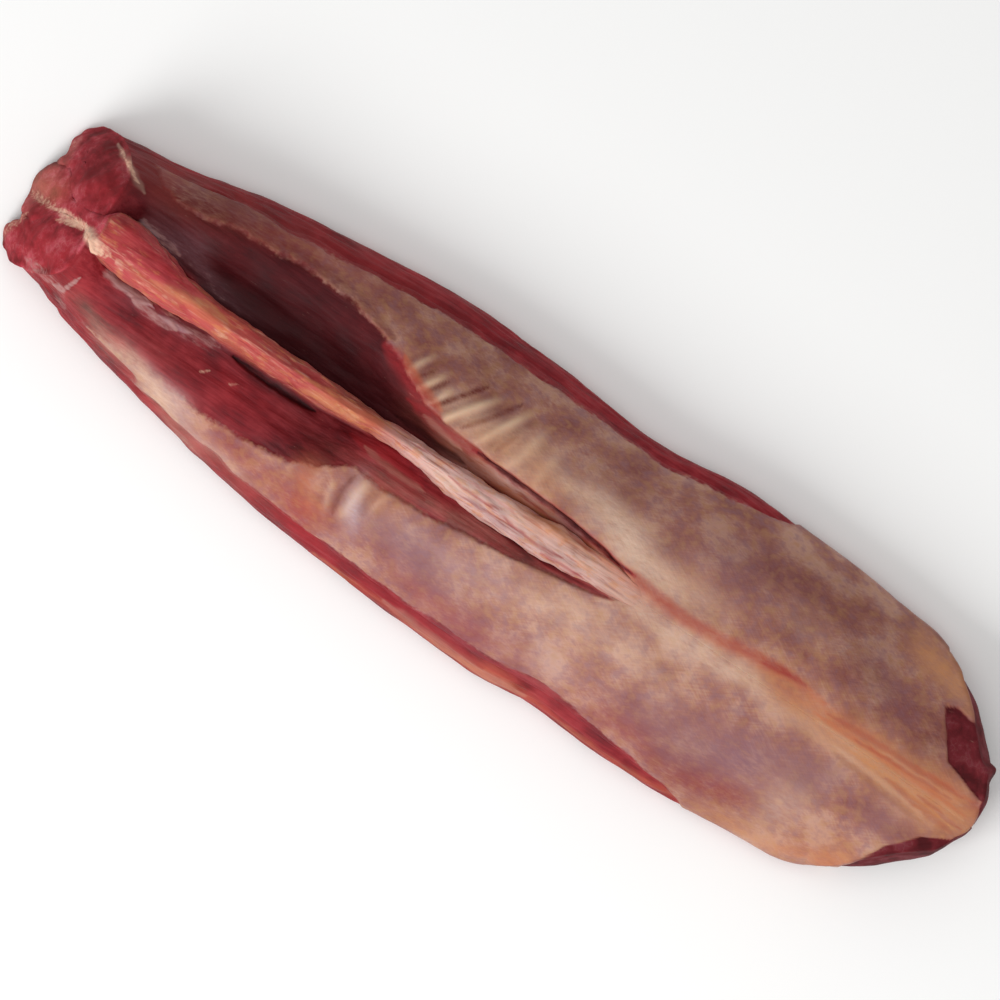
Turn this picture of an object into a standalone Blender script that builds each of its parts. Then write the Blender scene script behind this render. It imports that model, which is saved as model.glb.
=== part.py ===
"""Raw venison saddle, bone in: the two loins of a roe deer on their backbone.

X runs from the shoulder cut to the haunch cut, +Y is the animal's right side and Z is up.
The saddle lies on its two flanks, with the origin under the middle of it.
"""

import math

import bmesh
import bpy
from mathutils import Vector, noise

MM = 0.001

# Driving sizes
LENGTH = 520 * MM
FIT_GAP = 0.3 * MM  # between the backbone and the meat on either side of it

# How far the two cuts lean. The shoulder cut leans back over its height, with rounded corners. The
# haunch cut is a wedge that follows the hip bones, with the end of each loin leaning in a little.
SHOULDER_LEAN = 40 * MM
SHOULDER_LEAN_HEIGHT = 55 * MM
SHOULDER_REACH = 150 * MM
SHOULDER_CORNER = 11 * MM
SHOULDER_HALF_WIDTH = 38 * MM
WEDGE_SLOPE = {"right": 1.34, "left": 1.17}
WEDGE_NOSE = {"right": 22 * MM, "left": 12 * MM}
WEDGE_ROUNDING = 5 * MM
WEDGE_REACH = 160 * MM
LOIN_END_LEAN = 11 * MM
LOIN_END_CENTRE = 29 * MM
LOIN_END_SPREAD = 17 * MM

# Curves along the saddle: (distance from the shoulder cut, size), in millimetres
OUTLINE = {
    "right": (
        (0, 38.5), (23, 42.3), (57, 47.3), (91, 55.9), (136, 62.7), (204, 69.4),
        (250, 68.3), (303, 64.6), (352, 70.3), (408, 68.3), (454, 64.9), (520, 62.0),
    ),
    "left": (
        (0, 31.0), (23, 34.2), (45, 41.3), (91, 51.5), (136, 60.1), (181, 65.6),
        (295, 70.3), (324, 67.0), (363, 69.1), (386, 68.1), (431, 63.5), (520, 57.0),
    ),
}
CROWN_HEIGHT = (
    (0, 56.0), (45, 58.5), (136, 57.0), (227, 57.5), (318, 58.0), (408, 55.0), (465, 50.5), (520, 45.0),
)
CROWN_SQUARENESS = ((0, 3.6), (60, 3.0), (140, 2.4), (520, 2.3))
CROWN_POWER = 0.75
RIM_HEIGHT = ((0, 11.0), (136, 12.0), (318, 12.0), (520, 14.0))
RIDGE_HEIGHT = (
    (0, 60.0), (40, 63.0), (60, 64.5), (136, 64.0), (204, 62.5), (250, 61.5), (300, 60.2), (335, 0.0),
)
RIDGE_CENTRE = (
    (0, 1.5), (41, 1.8), (68, -0.5), (91, -3.0), (168, -2.5), (204, -1.2), (254, -2.5), (318, 0.6), (520, 1.1),
)
RIDGE_HALF_WIDTH = (
    (0, 3.0), (34, 3.6), (46, 10.8), (54, 12.0), (68, 10.7), (91, 7.3), (136, 5.7), (168, 5.2),
    (190, 3.8), (204, 3.6), (227, 5.0), (254, 7.3), (285, 8.2), (318, 6.0), (345, 3.6), (520, 3.6),
)

# The bare hollow on each side of the ridge, where the shoulder muscles came away
SKIN_EDGE = {
    "right": (
        (41, 31.0), (68, 30.6), (113, 38.3), (136, 39.7), (159, 37.4), (181, 31.5),
        (197, 22.9), (213, 18.3), (272, 13.8), (318, 9.3), (330, 5.2),
    ),
    "left": (
        (45, 32.9), (91, 37.5), (136, 42.0), (159, 39.7), (181, 31.6), (195, 23.4),
        (227, 21.6), (250, 19.3), (290, 13.4), (318, 8.0), (330, 5.2),
    ),
}
HOLLOW_DEPTH = {
    "right": (
        (41, 0.0), (54, 10.0), (68, 13.0), (136, 16.0), (170, 16.5),
        (204, 11.0), (227, 7.0), (250, 4.5), (295, 2.2), (330, 0.0),
    ),
    "left": (
        (41, 0.0), (56, 6.0), (91, 9.5), (136, 12.5), (170, 11.5),
        (204, 7.0), (227, 5.0), (272, 2.8), (330, 0.0),
    ),
}
RIDGE_GROOVE_DEPTH = 3.0 * MM
RIDGE_GROOVE_WIDTH = 3.5 * MM
SKIN_STEP = 1.0 * MM

# The flank's cut edge, a band of bare meat below the silver skin
BAND_WIDTH = {
    "right": (
        (72, 0.0), (91, 4.5), (136, 6.8), (204, 9.5), (250, 7.3), (300, 3.8), (345, 8.0), (363, 4.5), (380, 0.0),
    ),
    "left": (
        (104, 0.0), (136, 3.6), (181, 6.8), (227, 8.2), (295, 11.0), (345, 9.5), (363, 8.6), (392, 2.0), (410, 0.0),
    ),
}
BAND_CREASE_DEPTH = 1.3 * MM
BAND_CREASE_WIDTH = 2.2 * MM

# The underside
FOOT_INSET = 5 * MM
FOOT_SHARE = 0.22  # share of the width from the backbone to the rim that rests flat
ARCH_HEIGHT = ((0, 5.0), (91, 9.0), (227, 11.0), (408, 10.0), (520, 8.0))

# The backbone's side, as (half width, height) from its underside up to the foot of the spines
VERTEBRA_PITCH = 32 * MM
VERTEBRA_WAIST = 0.07
BODY_SIDE = ((9.0, 3.6), (13.5, 8.5), (14.5, 14.5), (13.0, 20.5), (8.5, 26.5), (3.8, 32.0))
BODY_BOTTOM = 3.0 * MM
SPINE_HALF_WIDTH = ((0, 2.2), (60, 3.4), (520, 3.4))
SPINE_NECK_DROP = 7 * MM
RIDGE_SHOULDER = ((0.97, 0.45), (0.7, 0.86))  # shares of the ridge's half width and height

LUMP_SIZE = 0.9 * MM
LUMP_SPREAD = 34 * MM
CUT_SWELL = 3.5 * MM
CUT_MIDDLE_OUT = 0.6  # shares of the loin's width and height at which its cut ends swell most
CUT_MIDDLE_UP = 0.55

# How finely the solids are divided
STATION_STEP = 8 * MM
FINE_STEP = 4.5 * MM
FINE_REACH = 63 * MM
ACROSS_SHARES = (0.0, 0.045, 0.11, 0.19, 0.28, 0.38, 0.48, 0.58, 0.68, 0.78, 0.86, 0.93, 0.975, 1.0)
ARCH_SHARES = (0.28, 0.55, 0.8)
CUT_SHARES = (0.85, 0.6, 0.3)


def along(knots, distance):
    """A smooth curve through (distance, size) knots in millimetres, which never swings past a knot."""
    place = distance / MM
    if place <= knots[0][0]:
        return knots[0][1] * MM
    if place >= knots[-1][0]:
        return knots[-1][1] * MM
    steps = [(b[0] - a[0], (b[1] - a[1]) / (b[0] - a[0])) for a, b in zip(knots, knots[1:])]
    index = max(i for i, knot in enumerate(knots[:-1]) if knot[0] <= place)

    def slope(i):
        """The curve's slope at a knot: flat at a peak, a hollow or an end."""
        if i == 0 or i == len(steps) or steps[i - 1][1] * steps[i][1] <= 0:
            return 0.0
        (before, rise_before), (after, rise_after) = steps[i - 1], steps[i]
        near, far = 2 * after + before, after + 2 * before
        return (near + far) / (near / rise_before + far / rise_after)

    width = steps[index][0]
    t = (place - knots[index][0]) / width
    low, high = knots[index][1], knots[index + 1][1]
    return MM * (
        low * (1 + 2 * t) * (1 - t) ** 2
        + high * t * t * (3 - 2 * t)
        + slope(index) * width * t * (1 - t) ** 2
        - slope(index + 1) * width * t * t * (1 - t)
    )


def eased(t):
    """A smooth step from 0 to 1."""
    t = min(max(t, 0.0), 1.0)
    return t * t * (3 - 2 * t)


def lump(x, y, z=0.0):
    """Low, broad unevenness of the meat."""
    return LUMP_SIZE * noise.noise(Vector((x, y, z)) / LUMP_SPREAD)


def sign(side):
    """+1 on the animal's right, -1 on its left."""
    return 1 if side == "right" else -1


def ridge_edge(x, side):
    """Distance from the middle line out to the side of the ridge."""
    return sign(side) * along(RIDGE_CENTRE, x) + along(RIDGE_HALF_WIDTH, x)


def arch(x, y, side):
    """Height of the plain rounded back, at the distance y out from the middle line."""
    rim = along(RIM_HEIGHT, x)
    crown = along(CROWN_HEIGHT, x) - rim
    power = along(CROWN_SQUARENESS, x) / MM
    out = min(y / along(OUTLINE[side], x), 1.0)
    return rim + crown * (1 - out**power) ** CROWN_POWER


def loin_height(x, y, side):
    """Height of a loin's upper face, at the distance y out from the middle line."""
    height = arch(x, y, side)
    inner = ridge_edge(x, side)
    edge = max(along(SKIN_EDGE[side], x), inner + 0.1 * MM)
    depth = along(HOLLOW_DEPTH[side], x)
    across = (y - inner) / (edge - inner)
    height -= depth * (1 - eased((across - 0.2) / 0.8))
    groove = math.exp(-(((y - inner) / RIDGE_GROOVE_WIDTH) ** 2))
    height -= min(RIDGE_GROOVE_DEPTH, depth) * groove
    height -= min(SKIN_STEP, depth) * (1 - eased((across - 0.97) / 0.08))
    band = along(BAND_WIDTH[side], x)
    crease = math.exp(-(((along(OUTLINE[side], x) - band - y) / BAND_CREASE_WIDTH) ** 2))
    height -= BAND_CREASE_DEPTH * crease * eased(band / (4 * MM))
    fade = 1 - eased((y / along(OUTLINE[side], x) - 0.8) / 0.2)
    return height + lump(x, sign(side) * y) * fade


def ridge_top(x, side_height):
    """Height of the backbone's top edge, which stands clear of the meat only in front."""
    return max(along(RIDGE_HEIGHT, x), side_height + 0.4 * MM)


def bone_wall(x, side):
    """The backbone's side as (distance out, height), from its underside up to the meat's edge."""
    centre = sign(side) * along(RIDGE_CENTRE, x)
    swell = 1 - VERTEBRA_WAIST * math.cos(2 * math.pi * x / VERTEBRA_PITCH)
    wall = [(centre + half * MM * swell, height * MM) for half, height in BODY_SIDE]
    inner = ridge_edge(x, side)
    meet = loin_height(x, inner + FIT_GAP, side)
    wall.append((centre + along(SPINE_HALF_WIDTH, x), meet - SPINE_NECK_DROP))
    wall.append((inner, meet))
    return wall


def loin_section(x, side):
    """One closed section of a loin, as (distance out, height), from the ridge over the back and under.

    The points on the backbone lie on its side: their ring moves them out by the gap between the two.
    """
    inner = ridge_edge(x, side)
    rim = along(OUTLINE[side], x)
    wall = bone_wall(x, side)[1:]
    points = [wall.pop()]
    for share in ACROSS_SHARES[1:]:
        y = inner + (rim - inner) * share
        points.append((y, loin_height(x, y, side)))
    low = points[-1][1]
    points += [(rim - 0.8 * MM, 0.45 * low), (rim - 2.8 * MM, 0.1 * low), (rim - FOOT_INSET, 0.0)]
    bone, bone_height = wall[0]
    foot = rim - FOOT_INSET - FOOT_SHARE * (rim - bone)
    points.append((foot, 0.0))
    for share in ARCH_SHARES:
        rise = along(ARCH_HEIGHT, x) * math.sin(math.pi * share)
        points.append((foot + (bone - foot) * share, bone_height * share + rise))
    return points + wall


def backbone_section(x):
    """One closed section of the backbone, as (y, z), starting under its middle."""
    centre = along(RIDGE_CENTRE, x)
    sides = {}
    meets = []
    for side in ("right", "left"):
        wall = bone_wall(x, side)
        meets.append(wall[-1][1])
        sides[side] = wall
    top = ridge_top(x, max(meets))
    for side, wall in sides.items():
        meet = wall[-1][1]
        for share, rise in RIDGE_SHOULDER:
            out = sign(side) * centre + along(RIDGE_HALF_WIDTH, x) * share
            wall.append((out, meet + (top - meet) * rise))
    left = [(-y, z) for y, z in reversed(sides["left"])]
    return [(centre, BODY_BOTTOM), *sides["right"], (centre, top), *left]


def wedge(y):
    """How far the haunch cut lies behind its nose, at y."""
    side = "right" if y > 0 else "left"

    def past(out):
        """A straight slope from the nose's corner on, with the corner rounded off."""
        return WEDGE_ROUNDING * math.log1p(math.exp((out - WEDGE_NOSE[side]) / WEDGE_ROUNDING))

    return WEDGE_SLOPE[side] * (past(abs(y)) - past(0.0))


def leaned(distance, y, z):
    """Where along X a point of the section at that distance lies, with the two cuts' lean."""
    front = max(1 - distance / SHOULDER_REACH, 0.0) ** 1.2
    shoulder = SHOULDER_LEAN * max(z - BODY_BOTTOM, 0.0) / SHOULDER_LEAN_HEIGHT
    shoulder += SHOULDER_CORNER * (abs(y) / SHOULDER_HALF_WIDTH) ** 2.5
    back = max(1 - (LENGTH - distance) / WEDGE_REACH, 0.0) ** 1.4
    loin_end = math.exp(-(((abs(y) - LOIN_END_CENTRE) / LOIN_END_SPREAD) ** 2))
    haunch = wedge(y) + LOIN_END_LEAN * loin_end * z / SHOULDER_LEAN_HEIGHT
    return distance + front * shoulder - back * haunch


def stations():
    """Distances of the sections from the shoulder cut, closer together where the surface changes quickly."""
    fine = round(FINE_REACH / FINE_STEP)
    plain = round((LENGTH - FINE_REACH) / STATION_STEP)
    near = [FINE_REACH * i / fine for i in range(fine)]
    far = [FINE_REACH + (LENGTH - FINE_REACH) * i / plain for i in range(plain + 1)]
    return near + far


def ring(section, distance, mirror, gap):
    """The points of one section in space, moved out by the gap on the side that mirror says.

    The section is taken twice, so that its form suits the place that each point leans to.
    """
    placed = []
    for index, (y, z) in enumerate(section(distance)):
        x = leaned(distance, mirror * y, z)
        y, z = section(x)[index]
        placed.append(Vector((x - LENGTH / 2, mirror * (y + gap), z)))
    return placed


def cap_rings(edge, distance, swell):
    """Smaller and smaller rings over a loin's cut end, which swells out along X between its edges."""
    inner = min(edge, key=lambda point: abs(point.y)).y
    rim = max(edge, key=lambda point: abs(point.y)).y
    middle_y = inner + (rim - inner) * CUT_MIDDLE_OUT
    middle_z = max(point.z for point in edge) * CUT_MIDDLE_UP
    swelled = []
    for share in CUT_SHARES:
        smaller = []
        for point in edge:
            y = middle_y + (point.y - middle_y) * share
            z = middle_z + (point.z - middle_z) * share
            x = leaned(distance, y, z) - LENGTH / 2 + swell * (1 - share**2)
            smaller.append(Vector((x, y, z)))
        swelled.append(smaller)
    return swelled


def add_band(shape, before, after):
    """Triangles between two rings. Each square is split from low on the first to high on the second."""
    for i in range(len(before)):
        j = (i + 1) % len(before)
        rises = before[i].co.z + after[i].co.z < before[j].co.z + after[j].co.z
        corners = [before[i], before[j], after[j], after[i]]
        if not rises:
            corners = corners[1:] + corners[:1]
        shape.faces.new((corners[0], corners[1], corners[2]))
        shape.faces.new((corners[0], corners[2], corners[3]))


def lofted(name, rings):
    """A closed solid through a row of rings."""
    shape = bmesh.new()
    rows = [[shape.verts.new(point) for point in points] for points in rings]
    for before, after in zip(rows, rows[1:]):
        add_band(shape, before, after)
    ends = [shape.faces.new(rows[0]), shape.faces.new(rows[-1])]
    bmesh.ops.triangulate(shape, faces=ends, ngon_method="EAR_CLIP")
    bmesh.ops.recalc_face_normals(shape, faces=shape.faces[:])
    mesh = bpy.data.meshes.new(name)
    shape.to_mesh(mesh)
    shape.free()
    mesh.shade_smooth()
    mesh.set_sharp_from_angle(angle=math.radians(50))
    made = bpy.data.objects.new(name, mesh)
    bpy.context.scene.collection.objects.link(made)
    return made


def material(name, colour, roughness):
    """A plain Principled material, which no metal is in."""
    made = bpy.data.materials.new(name)
    made.use_nodes = True
    shader = made.node_tree.nodes["Principled BSDF"]
    shader.inputs["Base Color"].default_value = (*colour, 1)
    shader.inputs["Roughness"].default_value = roughness
    shader.inputs["Metallic"].default_value = 0.0
    return made


def loin(side, finish):
    """One loin with its flank: silver skin above, a bare cut edge along the flank, an arch underneath."""

    def section(x):
        """The loin's section at x."""
        return loin_section(x, side)

    body = [ring(section, distance, sign(side), FIT_GAP) for distance in stations()]
    front = cap_rings(body[0], 0.0, -CUT_SWELL)
    back = cap_rings(body[-1], LENGTH, CUT_SWELL)
    rings = (*reversed(front), *body, *back)
    made = lofted(f"loin_{side}", rings)
    made.data.materials.append(finish)
    return made


def backbone(finish):
    """The vertebrae, with their spines reaching up to the ridge along the back."""
    made = lofted("backbone", [ring(backbone_section, distance, 1, 0.0) for distance in stations()])
    made.data.materials.append(finish)
    return made


def main():
    for old in list(bpy.data.objects):
        bpy.data.objects.remove(old)
    saddle = bpy.data.objects.new("saddle", None)
    bpy.context.scene.collection.objects.link(saddle)
    meat = material("raw_venison", (0.26, 0.10, 0.08), 0.45)
    bone = material("backbone_ridge", (0.42, 0.14, 0.10), 0.5)
    for piece in (loin("right", meat), loin("left", meat), backbone(bone)):
        piece.parent = saddle


main()
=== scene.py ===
"""Looks of a raw venison saddle: bare meat, silver skin, the backbone's ridge and the cut ends.

The saddle lies on its flanks and is seen from above. X runs from the shoulder cut to the haunch
cut and +Y is the animal's right side. Places along the saddle count from the shoulder cut.
"""

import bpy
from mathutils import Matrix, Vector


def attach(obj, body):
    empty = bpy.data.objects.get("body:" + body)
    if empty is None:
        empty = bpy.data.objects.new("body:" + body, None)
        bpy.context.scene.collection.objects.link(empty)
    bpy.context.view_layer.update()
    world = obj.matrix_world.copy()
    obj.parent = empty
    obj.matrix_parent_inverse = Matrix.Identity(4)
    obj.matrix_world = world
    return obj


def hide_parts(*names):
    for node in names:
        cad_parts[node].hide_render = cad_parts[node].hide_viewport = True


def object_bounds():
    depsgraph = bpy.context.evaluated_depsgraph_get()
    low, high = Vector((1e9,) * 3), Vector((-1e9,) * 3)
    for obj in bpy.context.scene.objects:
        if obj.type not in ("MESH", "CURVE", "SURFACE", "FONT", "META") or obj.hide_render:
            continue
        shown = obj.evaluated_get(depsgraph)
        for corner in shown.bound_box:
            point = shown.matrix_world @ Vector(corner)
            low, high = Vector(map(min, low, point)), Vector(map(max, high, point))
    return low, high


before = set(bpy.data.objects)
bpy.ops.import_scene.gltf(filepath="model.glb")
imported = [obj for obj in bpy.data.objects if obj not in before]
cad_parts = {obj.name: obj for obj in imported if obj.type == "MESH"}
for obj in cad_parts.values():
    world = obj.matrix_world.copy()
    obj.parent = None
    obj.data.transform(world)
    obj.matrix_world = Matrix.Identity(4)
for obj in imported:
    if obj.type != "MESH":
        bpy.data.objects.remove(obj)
CAD_BOX = [list(corner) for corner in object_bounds()]

import logging
import math
from dataclasses import dataclass, field
from enum import Enum
from typing import Callable

import bmesh
import bpy
import numpy as np
from mathutils import Vector, noise
from mathutils.bvhtree import BVHTree

MM = 0.001
SHOULDER_CUT = CAD_BOX[0][0] / MM
LOG = logging.getLogger("saddle")

Values = np.ndarray
Span = tuple[float, float]
Pairs = tuple[tuple[float, float], ...]
Stops = tuple[tuple[float, str], ...]
Face = bmesh.types.BMFace
Tree = bpy.types.NodeTree
Socket = bpy.types.NodeSocket


def linear(hex_colour: str) -> tuple[float, float, float, float]:
    """Turn an sRGB colour to the linear one that shaders take.

    Args:
        hex_colour: the colour as "#rrggbb".

    Returns:
        Linear red, green, blue and an alpha of 1.
    """
    parts = [int(hex_colour[i : i + 2], 16) / 255 for i in (1, 3, 5)]
    lit = [p / 12.92 if p <= 0.04045 else ((p + 0.055) / 1.055) ** 2.4 for p in parts]
    return (lit[0], lit[1], lit[2], 1.0)


def smooth(low: float, high: float, values: Values) -> Values:
    """A smooth step from 0 at low to 1 at high, where high may be the smaller number."""
    t = np.clip((values - low) / (high - low), 0.0, 1.0)
    return t * t * (3 - 2 * t)


def hump(values: Values, width: float) -> Values:
    """A rounded hump, 1 at zero and about a third at the width."""
    return np.exp(-((values / width) ** 2))


class Side(Enum):
    """The animal's sides, with the sign that Y has on each."""

    RIGHT = 1
    LEFT = -1


@dataclass(frozen=True)
class Course:
    """A size that changes along the saddle, as (distance, size) knots in millimetres."""

    knots: Pairs

    def at(self, distance: Values) -> Values:
        """Read the size on a smooth curve that never swings past a knot.

        Args:
            distance: places along the saddle, in millimetres.

        Returns:
            The size at each place, in millimetres.
        """
        places, sizes = np.array(self.knots).T
        widths = np.diff(places)
        rises = np.diff(sizes) / widths
        before, after = rises[:-1], rises[1:]
        near, far = 2 * widths[1:] + widths[:-1], widths[1:] + 2 * widths[:-1]
        turning = before * after <= 0
        safe_before, safe_after = np.where(turning, 1.0, before), np.where(turning, 1.0, after)
        slopes = np.zeros(len(places))
        slopes[1:-1] = np.where(turning, 0.0, (near + far) / (near / safe_before + far / safe_after))
        place = np.clip(distance, places[0], places[-1])
        i = np.clip(np.searchsorted(places, place, side="right") - 1, 0, len(widths) - 1)
        t = (place - places[i]) / widths[i]
        low = sizes[i] * (1 + 2 * t) + slopes[i] * widths[i] * t
        high = sizes[i + 1] * (3 - 2 * t) - slopes[i + 1] * widths[i] * (1 - t)
        return low * (1 - t) ** 2 + high * t * t


# The ridge's middle line as Y, half its width, and the height of the saddle's middle line behind it.
RIDGE_CENTRE = Course(
    (
        (0, 1.5), (41, 1.8), (68, -0.5), (91, -3.0), (168, -2.5),
        (204, -1.2), (254, -2.5), (318, 0.6), (520, 1.1),
    )
)
RIDGE_HALF_WIDTH = Course(
    (
        (0, 3.0), (34, 3.6), (46, 10.8), (54, 12.0), (68, 10.7), (91, 7.3), (136, 5.7), (168, 5.2),
        (190, 3.8), (204, 3.6), (227, 5.0), (254, 7.3), (285, 8.2), (318, 6.0), (345, 3.6), (520, 3.6),
    )
)
MIDLINE_TOP = Course(
    (
        (310, 57.6), (328, 58.2), (352, 57.4), (376, 56.8),
        (408, 55.2), (448, 52.4), (487, 48.3), (519, 45.1),
    )
)


@dataclass(frozen=True)
class Wrinkle:
    """One crumpled fold of the silver skin, running outwards across the saddle, in millimetres."""

    distance: float
    inner: float
    outer: float
    slant: float
    height: float
    width: float

    def across(self, distance: Values, out: Values) -> tuple[Values, Values]:
        """Place the points beside this fold.

        Args:
            distance: places along the saddle.
            out: distances out from the middle line.

        Returns:
            Distances from the fold's crest, and its strength from end to end.
        """
        share = (out - self.inner) / (self.outer - self.inner)
        bend = 1.3 * np.sin(share * 3.2 + self.distance)
        taper = smooth(-0.12, 0.2, share) * (1 - smooth(0.55, 1.1, share))
        return distance - self.distance - self.slant * (out - self.inner) - bend, taper

    def crest(self, distance: Values, out: Values) -> Values:
        """The fold's height over the skin at each place."""
        side, taper = self.across(distance, out)
        return self.height * hump(side, self.width) * taper

    def valley(self, distance: Values, out: Values) -> Values:
        """The depth of the furrows on the fold's two sides at each place."""
        side, taper = self.across(distance, out)
        apart = 2.1 * self.width
        furrow = hump(side - apart, self.width) + 0.7 * hump(side + apart, self.width)
        return self.height * furrow * taper


@dataclass(frozen=True)
class SidePlan:
    """Where the finishes of one side meet, as distances out from the middle line."""

    outline: Course
    skin_edge: Course
    band_width: Course
    slit: Course
    # How much painted shade, with some of the meat's own darker tone, lies on the bare meat.
    dark_meat_and_shade: Course
    wrinkles: tuple[Wrinkle, ...]


class Tint(Enum):
    """Tissues, tones and a painted shade that lie over the plain finishes, each with its sRGB colour."""

    CREAM = "#dab9a3"
    MAUVE = "#875d64"
    LILAC = "#c8b0b6"
    BROWN = "#622722"
    GOLD = "#c4865a"
    EMBER = "#c06a48"
    RED = "#96242a"
    # A painted shade, laid in hollows, slits and grooves and over shaded bare meat.
    SHADE = "#330e12"
    FAT = "#e4b89e"
    MEMBRANE = "#ac827e"

    @property
    def is_torn(self) -> bool:
        """Whether the tissue lies in torn scraps, with ragged edges."""
        return self in (Tint.FAT, Tint.MEMBRANE)


CREAM, MAUVE, LILAC, BROWN, GOLD, EMBER, RED, SHADE, FAT, MEMBRANE = Tint


@dataclass(frozen=True)
class Patch:
    """A soft-edged tone on the saddle: its middle and reach in millimetres, turned in degrees."""

    tint: Tint
    distance: float
    across: float
    length: float
    width: float
    amount: float
    turn: float = 0.0

    def share(self, distance: Values, across: Values) -> Values:
        """How strongly the patch shows at each place.

        Args:
            distance: places along the saddle.
            across: places across it, Y positive.

        Returns:
            The patch's share, up to its amount.
        """
        angle = math.radians(self.turn)
        far, side = distance - self.distance, across - self.across
        along = (far * math.cos(angle) + side * math.sin(angle)) / self.length
        beside = (side * math.cos(angle) - far * math.sin(angle)) / self.width
        return self.amount * np.exp(-(along**2) - beside**2)


@dataclass(frozen=True)
class Streak:
    """A thin strand, scrap or groove along a path of (distance, Y) points, in millimetres."""

    tint: Tint
    path: Pairs
    width: float
    amount: float
    relief: float = 0.0

    def share(self, distance: Values, across: Values) -> Values:
        """How strongly the streak shows at each place.

        Args:
            distance: places along the saddle.
            across: places across it, Y positive.

        Returns:
            The streak's share, up to its amount.
        """
        points = np.array(self.path)
        steps = np.diff(points, axis=0)
        lengths = np.hypot(*steps.T)
        total = lengths.sum()
        nearest = np.full(len(distance), 1e9)
        position = np.zeros(len(distance))
        run = 0.0
        for (x, y), (step_x, step_y), length in zip(points, steps, lengths):
            t = np.clip(((distance - x) * step_x + (across - y) * step_y) / length**2, 0, 1)
            gap = np.hypot(distance - x - t * step_x, across - y - t * step_y)
            closer = gap < nearest
            nearest = np.where(closer, gap, nearest)
            position = np.where(closer, (run + t * length) / total, position)
            run += length
        taper = smooth(-0.02, 0.2, position) * (1 - smooth(0.8, 1.02, position))
        width = self.width * (0.35 + 0.65 * taper)
        return self.amount * (1 - smooth(0.3, 1.5, nearest / width))


PLANS = {
    Side.RIGHT: SidePlan(
        outline=Course(
            (
                (0, 38.5), (23, 42.3), (57, 47.3), (91, 55.9), (136, 62.7), (204, 69.4),
                (250, 68.3), (303, 64.6), (352, 70.3), (408, 68.3), (454, 64.9), (520, 62.0),
            )
        ),
        skin_edge=Course(
            (
                (0, 60.0), (30, 50.0), (42, 41.0), (54, 33.0), (68, 31.6), (90, 36.0), (113, 39.2),
                (136, 40.2), (159, 37.8), (181, 31.5), (197, 22.9), (213, 18.0), (250, 13.8),
                (272, 13.2), (295, 11.5), (318, 8.4), (328, 5.5), (340, -6.0), (352, -25.0),
            )
        ),
        band_width=Course(
            (
                (56, 0.0), (75, 5.0), (100, 9.5), (125, 11.0), (181, 11.5), (220, 11.0),
                (250, 9.5), (300, 7.5), (345, 8.0), (363, 5.0), (390, 0.0),
            )
        ),
        slit=Course(((205, 0.0), (222, 0.8), (250, 1.6), (300, 1.6), (318, 1.0), (334, 0.0))),
        # Deep painted shade on this side, which lies away from the light.
        dark_meat_and_shade=Course(
            (
                (20, 0.1), (40, 0.35), (48, 0.64), (80, 0.8), (120, 0.94), (185, 0.9),
                (215, 0.65), (240, 0.3), (290, 0.2),
            )
        ),
        wrinkles=(
            Wrinkle(192, 25, 41, 0.4, 0.9, 1.7),
            Wrinkle(200, 22, 37, 0.4, 0.9, 1.7),
            Wrinkle(207, 19, 33, 0.35, 0.8, 1.6),
            Wrinkle(218, 17, 42, 0.6, 1.4, 2.1),
            Wrinkle(237, 18, 44, 0.4, 1.2, 2.1),
            Wrinkle(252, 17, 42, 0.3, 0.6, 2.2),
            Wrinkle(266, 16, 38, 0.25, 0.45, 2.4),
        ),
    ),
    Side.LEFT: SidePlan(
        outline=Course(
            (
                (0, 31.0), (23, 34.2), (45, 41.3), (91, 51.5), (136, 60.1), (181, 65.6),
                (295, 70.3), (324, 67.0), (363, 69.1), (386, 68.1), (431, 63.5), (520, 57.0),
            )
        ),
        skin_edge=Course(
            (
                (0, 60.0), (30, 50.0), (44, 41.0), (60, 38.8), (91, 39.4), (136, 42.0), (159, 39.7),
                (181, 31.6), (195, 23.4), (213, 23.5), (227, 22.5), (250, 20.0), (272, 17.0),
                (290, 13.4), (318, 8.6), (328, 5.0), (340, -6.0), (352, -25.0),
            )
        ),
        band_width=Course(
            (
                (70, 0.0), (95, 4.0), (136, 6.8), (181, 8.0), (227, 9.0), (295, 11.0), (345, 10.5),
                (363, 9.5), (392, 4.5), (418, 0.0),
            )
        ),
        slit=Course(((205, 0.0), (225, 0.5), (290, 1.0), (318, 0.9), (334, 0.0))),
        # Less painted shade on this side, which faces the light.
        dark_meat_and_shade=Course(
            (
                (20, 0.0), (60, 0.08), (90, 0.18), (115, 0.22), (135, 0.24), (160, 0.54), (180, 0.62),
                (205, 0.15), (250, 0.1), (300, 0.2),
            )
        ),
        wrinkles=(
            Wrinkle(172, 34, 42, 0.1, 0.3, 1.6),
            Wrinkle(193, 32, 50, 0.1, 0.45, 1.8),
            Wrinkle(206, 24, 48, -0.2, 0.85, 2.7),
            Wrinkle(217, 23, 40, -0.25, 0.35, 2.0),
        ),
    ),
}

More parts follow.
